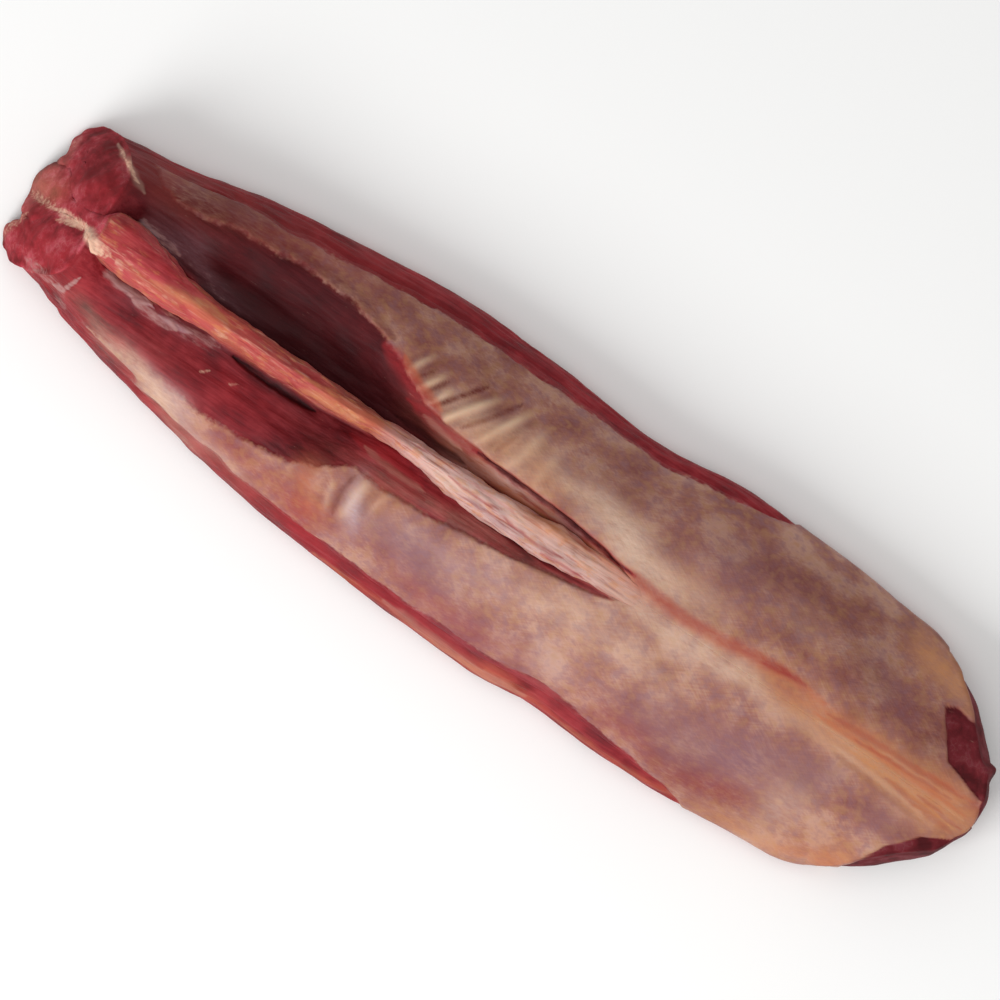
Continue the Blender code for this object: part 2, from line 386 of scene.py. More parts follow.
TISSUES = (
    # The pale seam between the two front lobes, with its knob of fat at the ridge's head.
    Streak(FAT, ((2, -2.5), (10, -2.4), (18, -2.0)), 2.4, 0.55, 0.3),
    Streak(FAT, ((18, -2.2), (26, -2.4), (36, -1.2)), 2.6, 0.75, 0.4),
    Streak(FAT, ((21, -6.5), (27, -4.6), (33, -2.6)), 1.6, 0.55, 0.3),
    Streak(CREAM, ((35, -1.6), (40, -4.2), (45, -7.4)), 2.8, 0.75, 0.8),
    Streak(FAT, ((37, -2.6), (42, -5.2), (47, -7.0)), 2.4, 0.8, 0.5),
    Streak(FAT, ((46, -4.2), (51, -5.8)), 2.2, 0.6, 0.4),
    # Thin membrane over the lobes' cut faces, and a strand of fat on the right lobe's upper edge.
    Streak(CREAM, ((4, -26), (3, -10), (3, 8), (8, 29)), 6.0, 0.12),
    Streak(FAT, ((-2, 7), (1, 14), (4, 21), (8, 29)), 3.0, 0.28),
    Patch(CREAM, 10, 2, 7, 7, 0.1),
    Patch(EMBER, 11, 3, 8, 6, 0.3),
    Streak(FAT, ((4, -26), (7, -16), (8, -10.6)), 2.2, 0.45, 0.2),
    Streak(CREAM, ((25, 37.0), (33, 33.4), (40, 30.0), (47, 26.0)), 1.8, 0.5, 0.5),
    Streak(FAT, ((27, 35.8), (34, 32.6), (43, 28.4)), 1.2, 0.6, 0.3),
    # A folded scrap of membrane on the left front lobe.
    Streak(MEMBRANE, ((36, -31.5), (41, -31.2), (43, -27.5), (45, -22.0)), 1.4, 0.75, 0.6),
    Streak(MEMBRANE, ((20, -27.5), (28, -29.5), (36, -32.5), (46, -37.5)), 3.4, 0.5, 0.2),
    # Painted shade in the front lobes' hollows, and bright red meat on the lobes.
    Patch(SHADE, 20, 21, 8, 8, 0.42),
    Patch(SHADE, 36, 24, 9, 6, 0.25, -20),
    Patch(SHADE, 43, 17, 6, 8, 0.75, 40),
    Patch(RED, 26, 16, 15, 11, 0.6),
    Patch(RED, 50, 40, 14, 9, 0.35),
    Patch(BROWN, 48, 38, 16, 10, 0.4),
    Patch(RED, 12, -16, 14, 11, 0.5),
    Patch(RED, 34, -20, 14, 8, 0.5),
    # The ridge's cream, orange and yellow strands of fat.
    Streak(FAT, ((54, -5.6), (58, -8.0), (62, -11.2)), 2.0, 0.5, 0.5),
    Streak(FAT, ((50, -1.0), (58, -3.4), (66, -6.0)), 1.6, 0.34, 0.3),
    Streak(EMBER, ((62, -5.5), (73, -7.4), (79, -7.1), (86, -6.0), (92, -3.0)), 2.8, 0.36, 0.3),
    Streak(FAT, ((66, -7.6), (74, -8.4), (80, -7.8), (88, -6.4)), 1.5, 0.42, 0.5),
    Streak(GOLD, ((72, -5.0), (80, -4.0), (90, -2.6), (100, -1.0)), 2.0, 0.5, 0.3),
    Streak(FAT, ((76, -3.4), (84, -2.6), (95, -1.6)), 1.2, 0.3, 0.3),
    Streak(EMBER, ((92, -5.0), (99, -4.2), (107, -2.6), (116, -1.4)), 2.2, 0.5, 0.3),
    Streak(GOLD, ((94, -0.5), (103, -0.6), (112, -1.0)), 1.8, 0.45, 0.3),
    Streak(FAT, ((107, -6.0), (114, -7.0), (122, -7.2), (130, -8.4)), 1.3, 0.36, 0.4),
    Streak(GOLD, ((108, -7.4), (116, -7.6), (128, -8.6), (134, -9.6)), 1.8, 0.4, 0.2),
    Streak(FAT, ((129, -4.2), (139, -5.0), (147, -5.2), (156, -5.3)), 1.2, 0.25, 0.3),
    Streak(FAT, ((134, -9.2), (146, -9.6), (160, -8.0)), 1.2, 0.25, 0.4),
    Streak(GOLD, ((156, -6.5), (164, -5.6), (176, -4.6), (188, -2.8)), 2.0, 0.5, 0.2),
    Streak(FAT, ((164, -4.4), (177, -3.4), (188, -2.4)), 1.4, 0.26, 0.4),
    Streak(EMBER, ((160, -2.0), (176, -1.2), (196, -0.6)), 2.6, 0.4, 0.2),
    # Red meat that still clings to the ridge.
    Streak(RED, ((45, 10.5), (55, 8.4), (65, 5.9), (75, 4.0), (84, 3.8), (94, 3.4)), 3.4, 0.7),
    Streak(RED, ((95, 3.0), (120, 1.4), (150, 0.2), (165, 0.0)), 1.8, 0.55),
    Patch(RED, 54, 4, 9, 6, 0.4),
    Patch(RED, 71, -1, 9, 3, 0.4, -20),
    Patch(RED, 84, -5, 8, 2.4, 0.35, -10),
    Patch(RED, 140, -5, 26, 4, 0.3, -4),
    # Lumpy membrane along the ridge's left foot.
    Streak(MEMBRANE, ((50, -12.4), (60, -14.4), (68, -14.6), (78, -13.8)), 2.5, 0.85, 1.0),
    Streak(LILAC, ((54, -13.4), (62, -14.8), (71, -14.6), (80, -14.4)), 1.1, 0.5, 0.4),
    Streak(MEMBRANE, ((70, -16.6), (78, -17.2), (86, -17.4), (94, -16.8)), 2.6, 0.65, 0.8),
    Streak(LILAC, ((84, -15.6), (92, -15.6), (100, -14.6)), 1.2, 0.4, 0.3),
    Streak(FAT, ((74, -12.6), (83, -12.0), (92, -12.2)), 1.8, 0.4, 0.8),
    Streak(MEMBRANE, ((88, -14.6), (97, -14.2), (106, -12.8), (114, -12.2)), 2.2, 0.5, 0.8),
    Streak(MEMBRANE, ((97, -17.6), (105, -16.4), (114, -14.4)), 2.2, 0.3, 0.5),
    # The meat beside that membrane: filmed over, under painted shade, dull and red.
    Patch(MAUVE, 92, -16, 24, 4, 0.45, 4),
    Patch(SHADE, 136, -11.5, 18, 3.2, 0.5),
    Patch(BROWN, 92, -30, 16, 6, 0.3),
    Patch(RED, 136, -25, 16, 6, 0.35),
    # Greyish membrane along the ridge's right foot.
    Streak(MEMBRANE, ((50, 15.2), (58, 14.8), (66, 13.4), (76, 11.6)), 2.0, 0.55, 0.5),
    Streak(LILAC, ((51, 15.0), (58, 14.4), (64, 13.2)), 0.9, 0.4, 0.2),
    Streak(CREAM, ((50, 13.4), (56, 13.0), (62, 11.8)), 0.8, 0.4, 0.2),
    Patch(MEMBRANE, 92, 9.5, 24, 3.5, 0.26, -10),
    Patch(MAUVE, 70, 16, 16, 6, 0.56, -14),
    Patch(MAUVE, 96, 10, 22, 4, 0.4, -10),
    # Painted shade in the deep slit at the ridge's left foot, and flecks of fat beside it.
    Streak(
        SHADE, ((122, -11.8), (130, -12.1), (140, -12.4), (150, -12.5), (158, -12.2), (166, -11.2)),
        1.8, 0.9, -1.4,
    ),
    Patch(SHADE, 152, -12.2, 12, 2.6, 0.5),
    Streak(FAT, ((113, -27.0), (117, -23.5)), 1.0, 0.5, 0.3),
    Streak(FAT, ((127, -24.0), (131, -21.5)), 1.0, 0.4, 0.2),
    # Red scraps at the pale leaf's left edge, its fine red lines, and the strand beside it.
    Patch(RED, 204, -9, 12, 3.5, 0.6),
    Streak(RED, ((233, -1.8), (243, -2.8), (252, -3.0), (262, -1.0)), 0.7, 0.5, -0.2),
    Streak(RED, ((262, -3.2), (272, -4.3), (285, -5.2), (297, -3.6)), 0.8, 0.5, -0.2),
    Streak(RED, ((287, -6.8), (297, -5.8), (310, -5.8)), 0.8, 0.5, -0.2),
    Streak(RED, ((240, 1.0), (256, 1.6), (270, 0.4)), 0.7, 0.35, -0.15),
    Streak(MAUVE, ((246, -5.0), (258, -6.4), (270, -7.2)), 1.4, 0.35),
    Patch(CREAM, 236, -2, 12, 3, 0.5),
    Patch(CREAM, 268, 1, 16, 3, 0.35),
    Patch(CREAM, 300, -2, 18, 4, 0.3),
    Streak(CREAM, ((194, -12.4), (207, -13.8), (216, -14.2), (228, -13.6)), 1.5, 0.34, 0.2),
    Streak(RED, ((186, -11.0), (200, -12.6), (214, -15.4), (230, -17.0)), 2.2, 0.45),
    Streak(RED, ((200, -9.5), (214, -11.0), (228, -13.5)), 2.6, 0.5),
    # The strip between the right groove and the right slit, with painted shade in both, then the red seam
    # that carries on.
    Patch(EMBER, 262, 8.5, 36, 3.0, 0.4, -5),
    Patch(GOLD, 290, 5.0, 26, 4.0, 0.55, -5),
    Patch(BROWN, 248, 8.0, 16, 3.5, 0.5, -6),
    Streak(CREAM, ((208, 14.0), (220, 12.4), (232, 11.0)), 1.2, 0.5, 0.3),
    Streak(BROWN, ((246, 6.6), (262, 6.2), (280, 5.2), (296, 3.6)), 0.9, 0.45, -0.2),
    Streak(RED, ((262, 9.6), (280, 8.4), (298, 6.6), (312, 5.4)), 0.8, 0.4, -0.1),
    Streak(RED, ((236, 13.7), (254, 13.1), (275, 12.9), (290, 12.0), (306, 10.3), (328, 7.8)), 2.2, 0.75),
    Streak(
        SHADE, ((238, 13.6), (254, 13.1), (275, 12.9), (290, 12.0), (306, 10.3), (326, 8.0)),
        1.2, 0.75, -0.6,
    ),
    Streak(RED, ((198, 16.0), (217, 13.6), (232, 13.8), (244, 13.4)), 2.6, 0.6, -0.3),
    Streak(SHADE, ((198, 6.6), (210, 7.2), (224, 6.4), (236, 6.4)), 1.8, 0.6, -0.5),
    Streak(
        EMBER,
        ((300, 8.0), (325, 7.0), (345, 5.2), (358, 4.4), (374, 5.6), (391, 8.6), (414, 10.0), (432, 9.0)),
        3.6, 0.42,
    ),
    Streak(RED, ((318, 8.4), (345, 6.4), (360, 5.4), (376, 6.8), (396, 9.6), (420, 11.0)), 2.8, 0.4),
    Streak(RED, ((398, 9.0), (408, 10.4), (418, 11.4)), 1.6, 0.35),
    # Fine strands along the middle behind, out to the nose.
    Streak(RED, ((436, 6.0), (462, 7.5), (486, 8.0), (508, 9.0)), 1.5, 0.28),
    Streak(EMBER, ((430, 3.0), (460, 3.5), (490, 3.0), (514, 3.0)), 1.6, 0.45),
    Streak(CREAM, ((434, 0.5), (462, 0.0), (490, -1.5), (512, -3.0)), 1.8, 0.38),
    Streak(CREAM, ((466, 5.6), (488, 5.4), (510, 6.0)), 1.3, 0.35),
    Streak(RED, ((474, -3.5), (492, -5.0), (512, -7.0)), 1.8, 0.25),
    Streak(BROWN, ((448, -7.0), (474, -8.5), (498, -10.5)), 1.8, 0.3),
    Patch(RED, 515, 8, 4, 6, 0.35),
    Patch(BROWN, 318, 0.5, 8, 4, 0.12),
    Patch(BROWN, 476, 2, 16, 8, 0.14),
    Streak(RED, ((452, 3.0), (478, 4.6), (504, 5.4)), 0.9, 0.32),
    Streak(CREAM, ((446, -4.5), (470, -5.5), (498, -8.0)), 1.2, 0.4),
    Streak(GOLD, ((450, -1.5), (480, -2.5), (510, -5.0)), 1.3, 0.5),
    Streak(MAUVE, ((466, -10.0), (488, -11.0), (504, -12.0)), 1.6, 0.4),
    Streak(CREAM, ((478, 2.4), (496, 1.6), (514, 0.6)), 1.0, 0.45),
    Streak(RED, ((490, -1.6), (504, -2.6), (515, -3.6)), 1.0, 0.34),
    Streak(EMBER, ((482, 8.6), (500, 9.4), (514, 10.0)), 1.2, 0.4),
    # Painted shade in the groove at the leaf's left foot, and pale skin on both sides of the middle.
    Streak(SHADE, ((289, -10.4), (298, -9.2), (306, -8.6), (314, -8.0), (324, -7.0)), 0.9, 0.5, -0.3),
    Streak(RED, ((289, -10.4), (300, -9.2), (312, -8.2), (326, -6.8)), 1.6, 0.6),
    Patch(CREAM, 346, -4.5, 24, 4.5, 0.34, -3),
    Patch(MAUVE, 282, -2, 16, 5, 0.16),
    Patch(CREAM, 384, -3.0, 34, 6.0, 0.55),
    Patch(CREAM, 240, -16, 40, 4, 0.16, 4),
    Patch(CREAM, 440, -3.0, 34, 5.0, 0.35, 3),
    # The torn corner of the right skin.
    Streak(RED, ((176, 31.0), (190, 26.0), (200, 21.4), (207, 19.6), (216, 17.6)), 4.2, 0.55),
    Streak(EMBER, ((186, 31.4), (195, 27.0), (204, 23.4), (214, 21.0)), 2.2, 0.55, 0.2),
    Streak(BROWN, ((58, 33), (90, 38.5), (113, 41.5), (136, 42.5), (159, 40.5), (178, 35.5)), 3.6, 0.5),
    # Painted shade, brown-red, in the valleys between the wrinkles beside that corner.
    Streak(BROWN, ((196, 26.0), (202, 35.0)), 1.1, 0.65),
    Streak(BROWN, ((203, 23.0), (209, 33.0)), 1.1, 0.65),
    Streak(BROWN, ((210, 20.5), (217, 30.0), (226, 42.0)), 1.5, 0.75),
    Streak(BROWN, ((226, 19.5), (234, 30.0), (243, 44.0)), 1.5, 0.65),
    Streak(BROWN, ((244, 19.0), (249, 30.0)), 1.4, 0.35),
    # Pale parts of the silver skin: partly thick skin, partly a painted highlight and sheen on the crown
    # and on the left flank, which faces the light.
    Patch(CREAM, 316, 21, 34, 8.5, 0.8, -12),
    Patch(CREAM, 283, 25, 20, 8, 0.3, -15),
    Patch(GOLD, 270, 22, 14, 8, 0.35),
    Patch(CREAM, 230, 26, 20, 9, 0.5, 8),
    Patch(CREAM, 256, 22, 14, 8, 0.3),
    Patch(CREAM, 347, 17, 24, 8, 0.35),
    Patch(CREAM, 312, -24, 36, 12, 0.3, 4),
    Patch(CREAM, 355, -22, 26, 9, 0.2),
    Patch(CREAM, 94, -45, 34, 5, 0.5, -14),
    Patch(CREAM, 135, -52, 30, 5, 0.25, -13),
    Patch(LILAC, 204.5, -38, 4.5, 13, 0.52, 12),
    # Painted shade in the furrow beside the left fold.
    Streak(BROWN, ((198, -26), (197, -35), (199, -46)), 1.2, 0.5),
    Patch(LILAC, 318, -46, 14, 8, 0.14),
    Patch(LILAC, 262, -30, 22, 6, 0.16, 4),
    Patch(LILAC, 112, -44, 26, 4, 0.2, -14),
    Patch(EMBER, 182, -38, 9, 8, 0.5),
    Patch(BROWN, 181, -36, 8, 8, 0.62),
    Patch(EMBER, 189, -49, 9, 5, 0.4, 14),
    Patch(CREAM, 441, -40, 12, 16, 0.35),
    # Cool and brown parts, where the skin is thin over the meat; the brown ones, mostly on the right side
    # away from the light, are partly painted shade.
    Patch(MAUVE, 236, -41, 28, 13, 0.76),
    Patch(MAUVE, 282, -53, 30, 9, 0.42),
    Patch(CREAM, 320, -48, 18, 8, 0.12),
    Patch(MAUVE, 372, -42, 26, 13, 0.5, 15),
    Patch(MAUVE, 412, -34, 28, 14, 0.78, 24),
    Patch(MAUVE, 447, -20, 14, 8, 0.5, 20),
    Patch(MAUVE, 484, -18, 14, 7, 0.6, 10),
    Patch(MAUVE, 366, 38, 30, 12, 0.44, 12),
    Patch(CREAM, 408, 34, 14, 9, 0.16),
    Patch(MAUVE, 300, 45, 36, 12, 0.12, -6),
    Patch(MAUVE, 452, 33, 22, 10, 0.4, -20),
    Patch(BROWN, 62, 36, 30, 12, 0.8, 12),
    Patch(BROWN, 98, 48, 36, 9, 0.64, 12),
    Patch(BROWN, 160, 57, 40, 8, 0.28, 8),
    Patch(BROWN, 186, 42, 34, 11, 0.14, -8),
    Patch(BROWN, 222, 42, 18, 8, 0.4),
    Patch(BROWN, 220, 54, 44, 8, 0.25),
    Patch(BROWN, 300, 52, 46, 9, 0.1),
    Patch(BROWN, 300, 38, 26, 7, 0.25),
    Patch(BROWN, 404, 52, 44, 12, 0.28),
    Patch(BROWN, 446, 28, 30, 14, 0.35, -18),
    Patch(BROWN, 484, 24, 12, 12, 0.5, -30),
    Patch(BROWN, 402, -54, 36, 10, 0.4),
    # Raw, reddish places where the skin is thinnest.
    Patch(RED, 150, -48, 26, 8, 0.28, -10),
    Patch(RED, 185, -54, 16, 7, 0.45, -12),
    Patch(RED, 268, -54, 40, 7, 0.3),
    Patch(RED, 365, -54, 30, 8, 0.25),
    Patch(RED, 410, -52, 24, 7, 0.25, 12),
    Patch(RED, 130, 50, 50, 7, 0.3, 12),
    Streak(BROWN, ((440, 66), (456, 65.6), (468, 62), (478, 54.5), (490, 45), (500, 37)), 2.2, 0.8),
    # Warm, fatty parts towards the haunch.
    Patch(GOLD, 469, 51, 22, 4.5, 0.62, -24),
    Patch(CREAM, 474, 48, 14, 3.5, 0.25, -26),
    Patch(GOLD, 352, 20, 16, 7, 0.2),
    Patch(MAUVE, 366, 24, 12, 8, 0.2),
    Patch(GOLD, 424, 2, 34, 8, 0.55, -4),
    Patch(GOLD, 470, 2, 28, 10, 0.7),
    Patch(GOLD, 502, 0, 20, 13, 0.7),
    Patch(EMBER, 440, 7, 36, 4, 0.35),
    Patch(EMBER, 500, 5, 16, 7, 0.25),
    Patch(GOLD, 472, 54, 18, 8, 0.45),
    Patch(GOLD, 440, -60, 40, 6, 0.5, 12),
    Patch(EMBER, 470, -52, 22, 6, 0.3, 24),
    Patch(GOLD, 478, -46, 14, 10, 0.45),
    Patch(GOLD, 214, -28, 12, 6, 0.3),
    Patch(GOLD, 240, 22, 20, 9, 0.35),
    # Pale fat along the outer rim of the flank's cut edge.
    Streak(CREAM, ((240, -66.0), (262, -67.4), (295, -68.0), (318, -65.8)), 2.0, 0.3),
    Streak(
        EMBER, ((202, -66.6), (230, -68.2), (250, -69.4), (295, -71), (324, -67.5), (363, -69), (400, -66)),
        2.8, 0.48,
    ),
    Patch(EMBER, 300, -67, 26, 3, 0.4),
    # The red meat that shows through beside it.
    Streak(RED, ((110, -52.5), (150, -58.0), (190, -61.5), (240, -65), (295, -66)), 3.0, 0.35),
)


class FineMesh:
    """A node's own form, squared up and divided finely enough to carve its relief into."""

    # Angles: of an edge that stays crisp, between triangles that join, of an edge that is shaded
    # sharp, and of a square that is folded over.
    SHARP = math.radians(38)
    JOIN = math.radians(70)
    SHADING_EDGE = math.radians(62)
    FOLD = math.radians(105)
    # Distances between corners that are one, and between corners of two pieces that touch.
    MERGE = 0.02 * MM
    TOUCH = 0.6 * MM
    DIVISIONS = 2
    # How crisp an edge stays: on the front lobes, which end at this distance, and behind them.
    LOBES_END = 48.0
    LOBE_CREASE = 0.12
    CREASE = 0.65
    # Where folded squares are spread: outside these distances, between these heights, in rounds.
    PLAIN_MIDDLE = (62.0, 478.0)
    FOLDED_HEIGHTS = (8.0, 56.0)
    SPREAD_ROUNDS = 20
    # How far the front seam is levelled to each side, and where this fades out.
    SEAM_REACH = 2.2
    SEAM_END = (50.0, 42.0)

    def __init__(self, node: str, name: str, fine: Callable[[Face], bool]) -> None:
        """Copy a node and divide it.

        Args:
            node: the node whose form is taken.
            name: the new piece's name.
            fine: picks the faces that are halved once more.
        """
        self.object = self.divided(node, name, fine)
        places = np.empty(len(self.object.data.vertices) * 3)
        self.object.data.vertices.foreach_get("co", places)
        self.take(places.reshape(-1, 3) / MM)

    def take(self, places: Values) -> None:
        """Take the vertices' places, in millimetres, and which way each one faces.

        Args:
            places: the places of all vertices.
        """
        normals = np.empty(places.size)
        self.object.data.vertex_normals.foreach_get("vector", normals)
        self.points = places
        self.normals = normals.reshape(-1, 3)
        self.distance = places[:, 0] - SHOULDER_CUT
        self.across = places[:, 1]

    def write(self, places: Values) -> None:
        """Put the vertices at these places, in millimetres."""
        self.object.data.vertices.foreach_set("co", (places * MM).ravel())
        self.object.data.update()

    def divided(self, node: str, name: str, fine: Callable[[Face], bool]) -> bpy.types.Object:
        """Turn the node's triangles into squares and smooth them into a fine mesh.

        Args:
            node: the node whose form is taken.
            name: the new piece's name.
            fine: picks the faces that are halved once more.

        Returns:
            The new object.
        """
        shape = bmesh.new()
        shape.from_mesh(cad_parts[node].data)
        bmesh.ops.remove_doubles(shape, verts=shape.verts[:], dist=self.MERGE)
        bmesh.ops.join_triangles(
            shape, faces=shape.faces[:], angle_face_threshold=self.JOIN, angle_shape_threshold=math.pi
        )
        self.crease(shape, node)
        rough = bpy.data.meshes.new(name + "_rough")
        shape.to_mesh(rough)
        shape.free()
        made = bpy.data.objects.new(name, rough)
        bpy.context.scene.collection.objects.link(made)
        division = made.modifiers.new("division", "SUBSURF")
        division.levels = self.DIVISIONS
        division.render_levels = self.DIVISIONS
        evaluated = made.evaluated_get(bpy.context.evaluated_depsgraph_get())
        mesh = bpy.data.meshes.new_from_object(evaluated)
        made.modifiers.clear()
        made.data = mesh
        bpy.data.meshes.remove(rough)
        shape = bmesh.new()
        shape.from_mesh(mesh)
        edges = {edge for face in shape.faces if fine(face) for edge in face.edges}
        bmesh.ops.subdivide_edges(shape, edges=list(edges), cuts=1, use_grid_fill=True)
        bmesh.ops.recalc_face_normals(shape, faces=shape.faces[:])
        self.spread_crumples(shape)
        shape.to_mesh(mesh)
        shape.free()
        mesh.shade_smooth()
        return made

    def spread_crumples(self, shape: bmesh.types.BMesh) -> None:
        """Spread out the squares that long triangles leave folded over inside the cut faces.

        Args:
            shape: the fine mesh.
        """
        shape.normal_update()
        front, rear = ((SHOULDER_CUT + distance) * MM for distance in self.PLAIN_MIDDLE)
        low, high = (height * MM for height in self.FOLDED_HEIGHTS)
        crumpled = {
            vertex
            for edge in shape.edges
            if edge.is_manifold and edge.calc_face_angle() > self.FOLD
            for vertex in edge.verts
            if low < vertex.co.z < high and not front < vertex.co.x < rear
        }
        for _ in range(2):
            crumpled |= {edge.other_vert(vertex) for vertex in crumpled for edge in vertex.link_edges}
        axes = {"use_axis_x": True, "use_axis_y": True, "use_axis_z": True}
        for _ in range(self.SPREAD_ROUNDS):
            bmesh.ops.smooth_vert(shape, verts=list(crumpled), factor=0.5, **axes)

    def crease(self, shape: bmesh.types.BMesh, node: str) -> None:
        """Keep edges crisp: fully where the pieces meet, well behind, and hardly in front.

        Args:
            shape: the squared-up mesh.
            node: the node that it was taken from.
        """
        layer = shape.edges.layers.float.new("crease_edge")
        others = []
        for name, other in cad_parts.items():
            if name != node:
                loose = bmesh.new()
                loose.from_mesh(other.data)
                others.append(BVHTree.FromBMesh(loose))
                loose.free()
        touching = {
            vertex
            for vertex in shape.verts
            if any(tree.find_nearest(vertex.co, self.TOUCH)[0] for tree in others)
        }
        for edge in shape.edges:
            if edge.is_manifold and edge.calc_face_angle() > self.SHARP:
                reach = max(vertex.co.x for vertex in edge.verts)
                front = reach < (SHOULDER_CUT + self.LOBES_END) * MM
                edge[layer] = self.LOBE_CREASE if front else self.CREASE
                if touching.issuperset(edge.verts):
                    edge[layer] = 1.0

    def move(self, moved: Values) -> None:
        """Move the vertices to new places, in millimetres, before any relief is carved."""
        self.write(moved)
        self.take(moved)

    def level_seam(self, beyond: Values, towards: Values | float, lap: float) -> None:
        """Let the front cut run on flat, without a gap, over the seam between two pieces.

        Args:
            beyond: distances from the seam, in millimetres.
            towards: the seam's side along Y, 1 or -1.
            lap: how far it runs over the seam, in millimetres.
        """
        facing = np.hypot(self.normals[:, 0], self.normals[:, 2])
        near = hump(beyond, self.SEAM_REACH) * smooth(*self.SEAM_END, self.distance)
        near *= smooth(0.3, 0.6, facing)
        self.points[:, 1] += lap * towards * near
        self.normals[:, 1] *= 1 - near
        self.normals /= np.linalg.norm(self.normals, axis=1, keepdims=True)

    def noise(self, grain: tuple[float, float, float], seed: float) -> Values:
        """Smooth random values, about -1 to 1, on every vertex.

        Args:
            grain: the pattern's size along X, Y and Z, in millimetres.
            seed: shifts the pattern.

        Returns:
            One value for each vertex.
        """
        places = self.points / np.array(grain) + (seed * 3.7, seed * 5.3, seed * 7.1)
        return np.array([noise.noise(place) for place in places.tolist()])

    def lay_tissues(self, freshly_cut: Values) -> Values:
        """Paint every tint's share and add up the relief of the streaks.

        Args:
            freshly_cut: the share of the rear cuts, which no tissue covers.

        Returns:
            The streaks' relief, in millimetres.
        """
        # What makes the patches' and the streaks' edges wander, in millimetres.
        broad = 5.0 * self.noise((24, 18, 60), 31)
        ragged = self.noise((5, 4, 9), 32)
        relief = np.zeros(len(self.points))
        clear = {tint: np.ones(len(self.points)) for tint in Tint}
        # The tissues lie on what faces up, and break up where the flank grows steep.
        back, _, upwards = self.normals.T
        upper = smooth(-0.02, 0.32, upwards)
        upper *= (1 - smooth(0.35, 0.6, back)) * (1 - freshly_cut)
        broken = smooth(-0.3, 0.2, self.noise((26, 9, 7), 33))
        upper *= 1 - 0.8 * smooth(0.6, 0.2, upwards) * broken
        for tissue in TISSUES:
            if isinstance(tissue, Patch):
                share = tissue.share(self.distance + 1.4 * broad, self.across + broad)
            else:
                share = tissue.share(self.distance + 0.5 * ragged, self.across + 0.6 * ragged)
                relief += tissue.relief * share * upper
            clear[tissue.tint] *= 1 - share * upper
        for tint, left in clear.items():
            self.paint(tint.name.lower(), 1 - left)
        return relief

    def carve(self, height: Values, spread: Values | float = 0.0) -> None:
        """Move the surface out along its normals, and no lower than the floor.

        Args:
            height: how far each vertex moves, in millimetres.
            spread: how far it swells across the saddle only, in millimetres.
        """
        sideways = self.normals * (0.0, 1.0, 1.0)
        moved = self.points + self.normals * height[:, None] + sideways * np.reshape(spread, (-1, 1))
        moved[:, 2] = np.maximum(moved[:, 2], 0.0)
        self.write(moved)
        self.object.data.set_sharp_from_angle(angle=self.SHADING_EDGE)

    def paint(self, name: str, values: Values | float) -> None:
        """Store one number for each vertex, which the finish reads.

        Args:
            name: the attribute's name.
            values: one value for each vertex, or one for all.
        """
        layer = self.object.data.attributes.new(name, "FLOAT", "POINT")
        filled = np.broadcast_to(np.asarray(values, dtype=np.float32), len(self.points))
        layer.data.foreach_set("value", np.ascontiguousarray(filled))

    def dress(self, material: bpy.types.Material, node: str) -> bpy.types.Object:
        """Give the piece its finish and let it stand for its node.

        Args:
            material: the finish.
            node: the node it replaces.

        Returns:
            The finished piece.
        """
        self.object.data.materials.clear()
        self.object.data.materials.append(material)
        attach(self.object, "root")
        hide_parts(node)
        return self.object


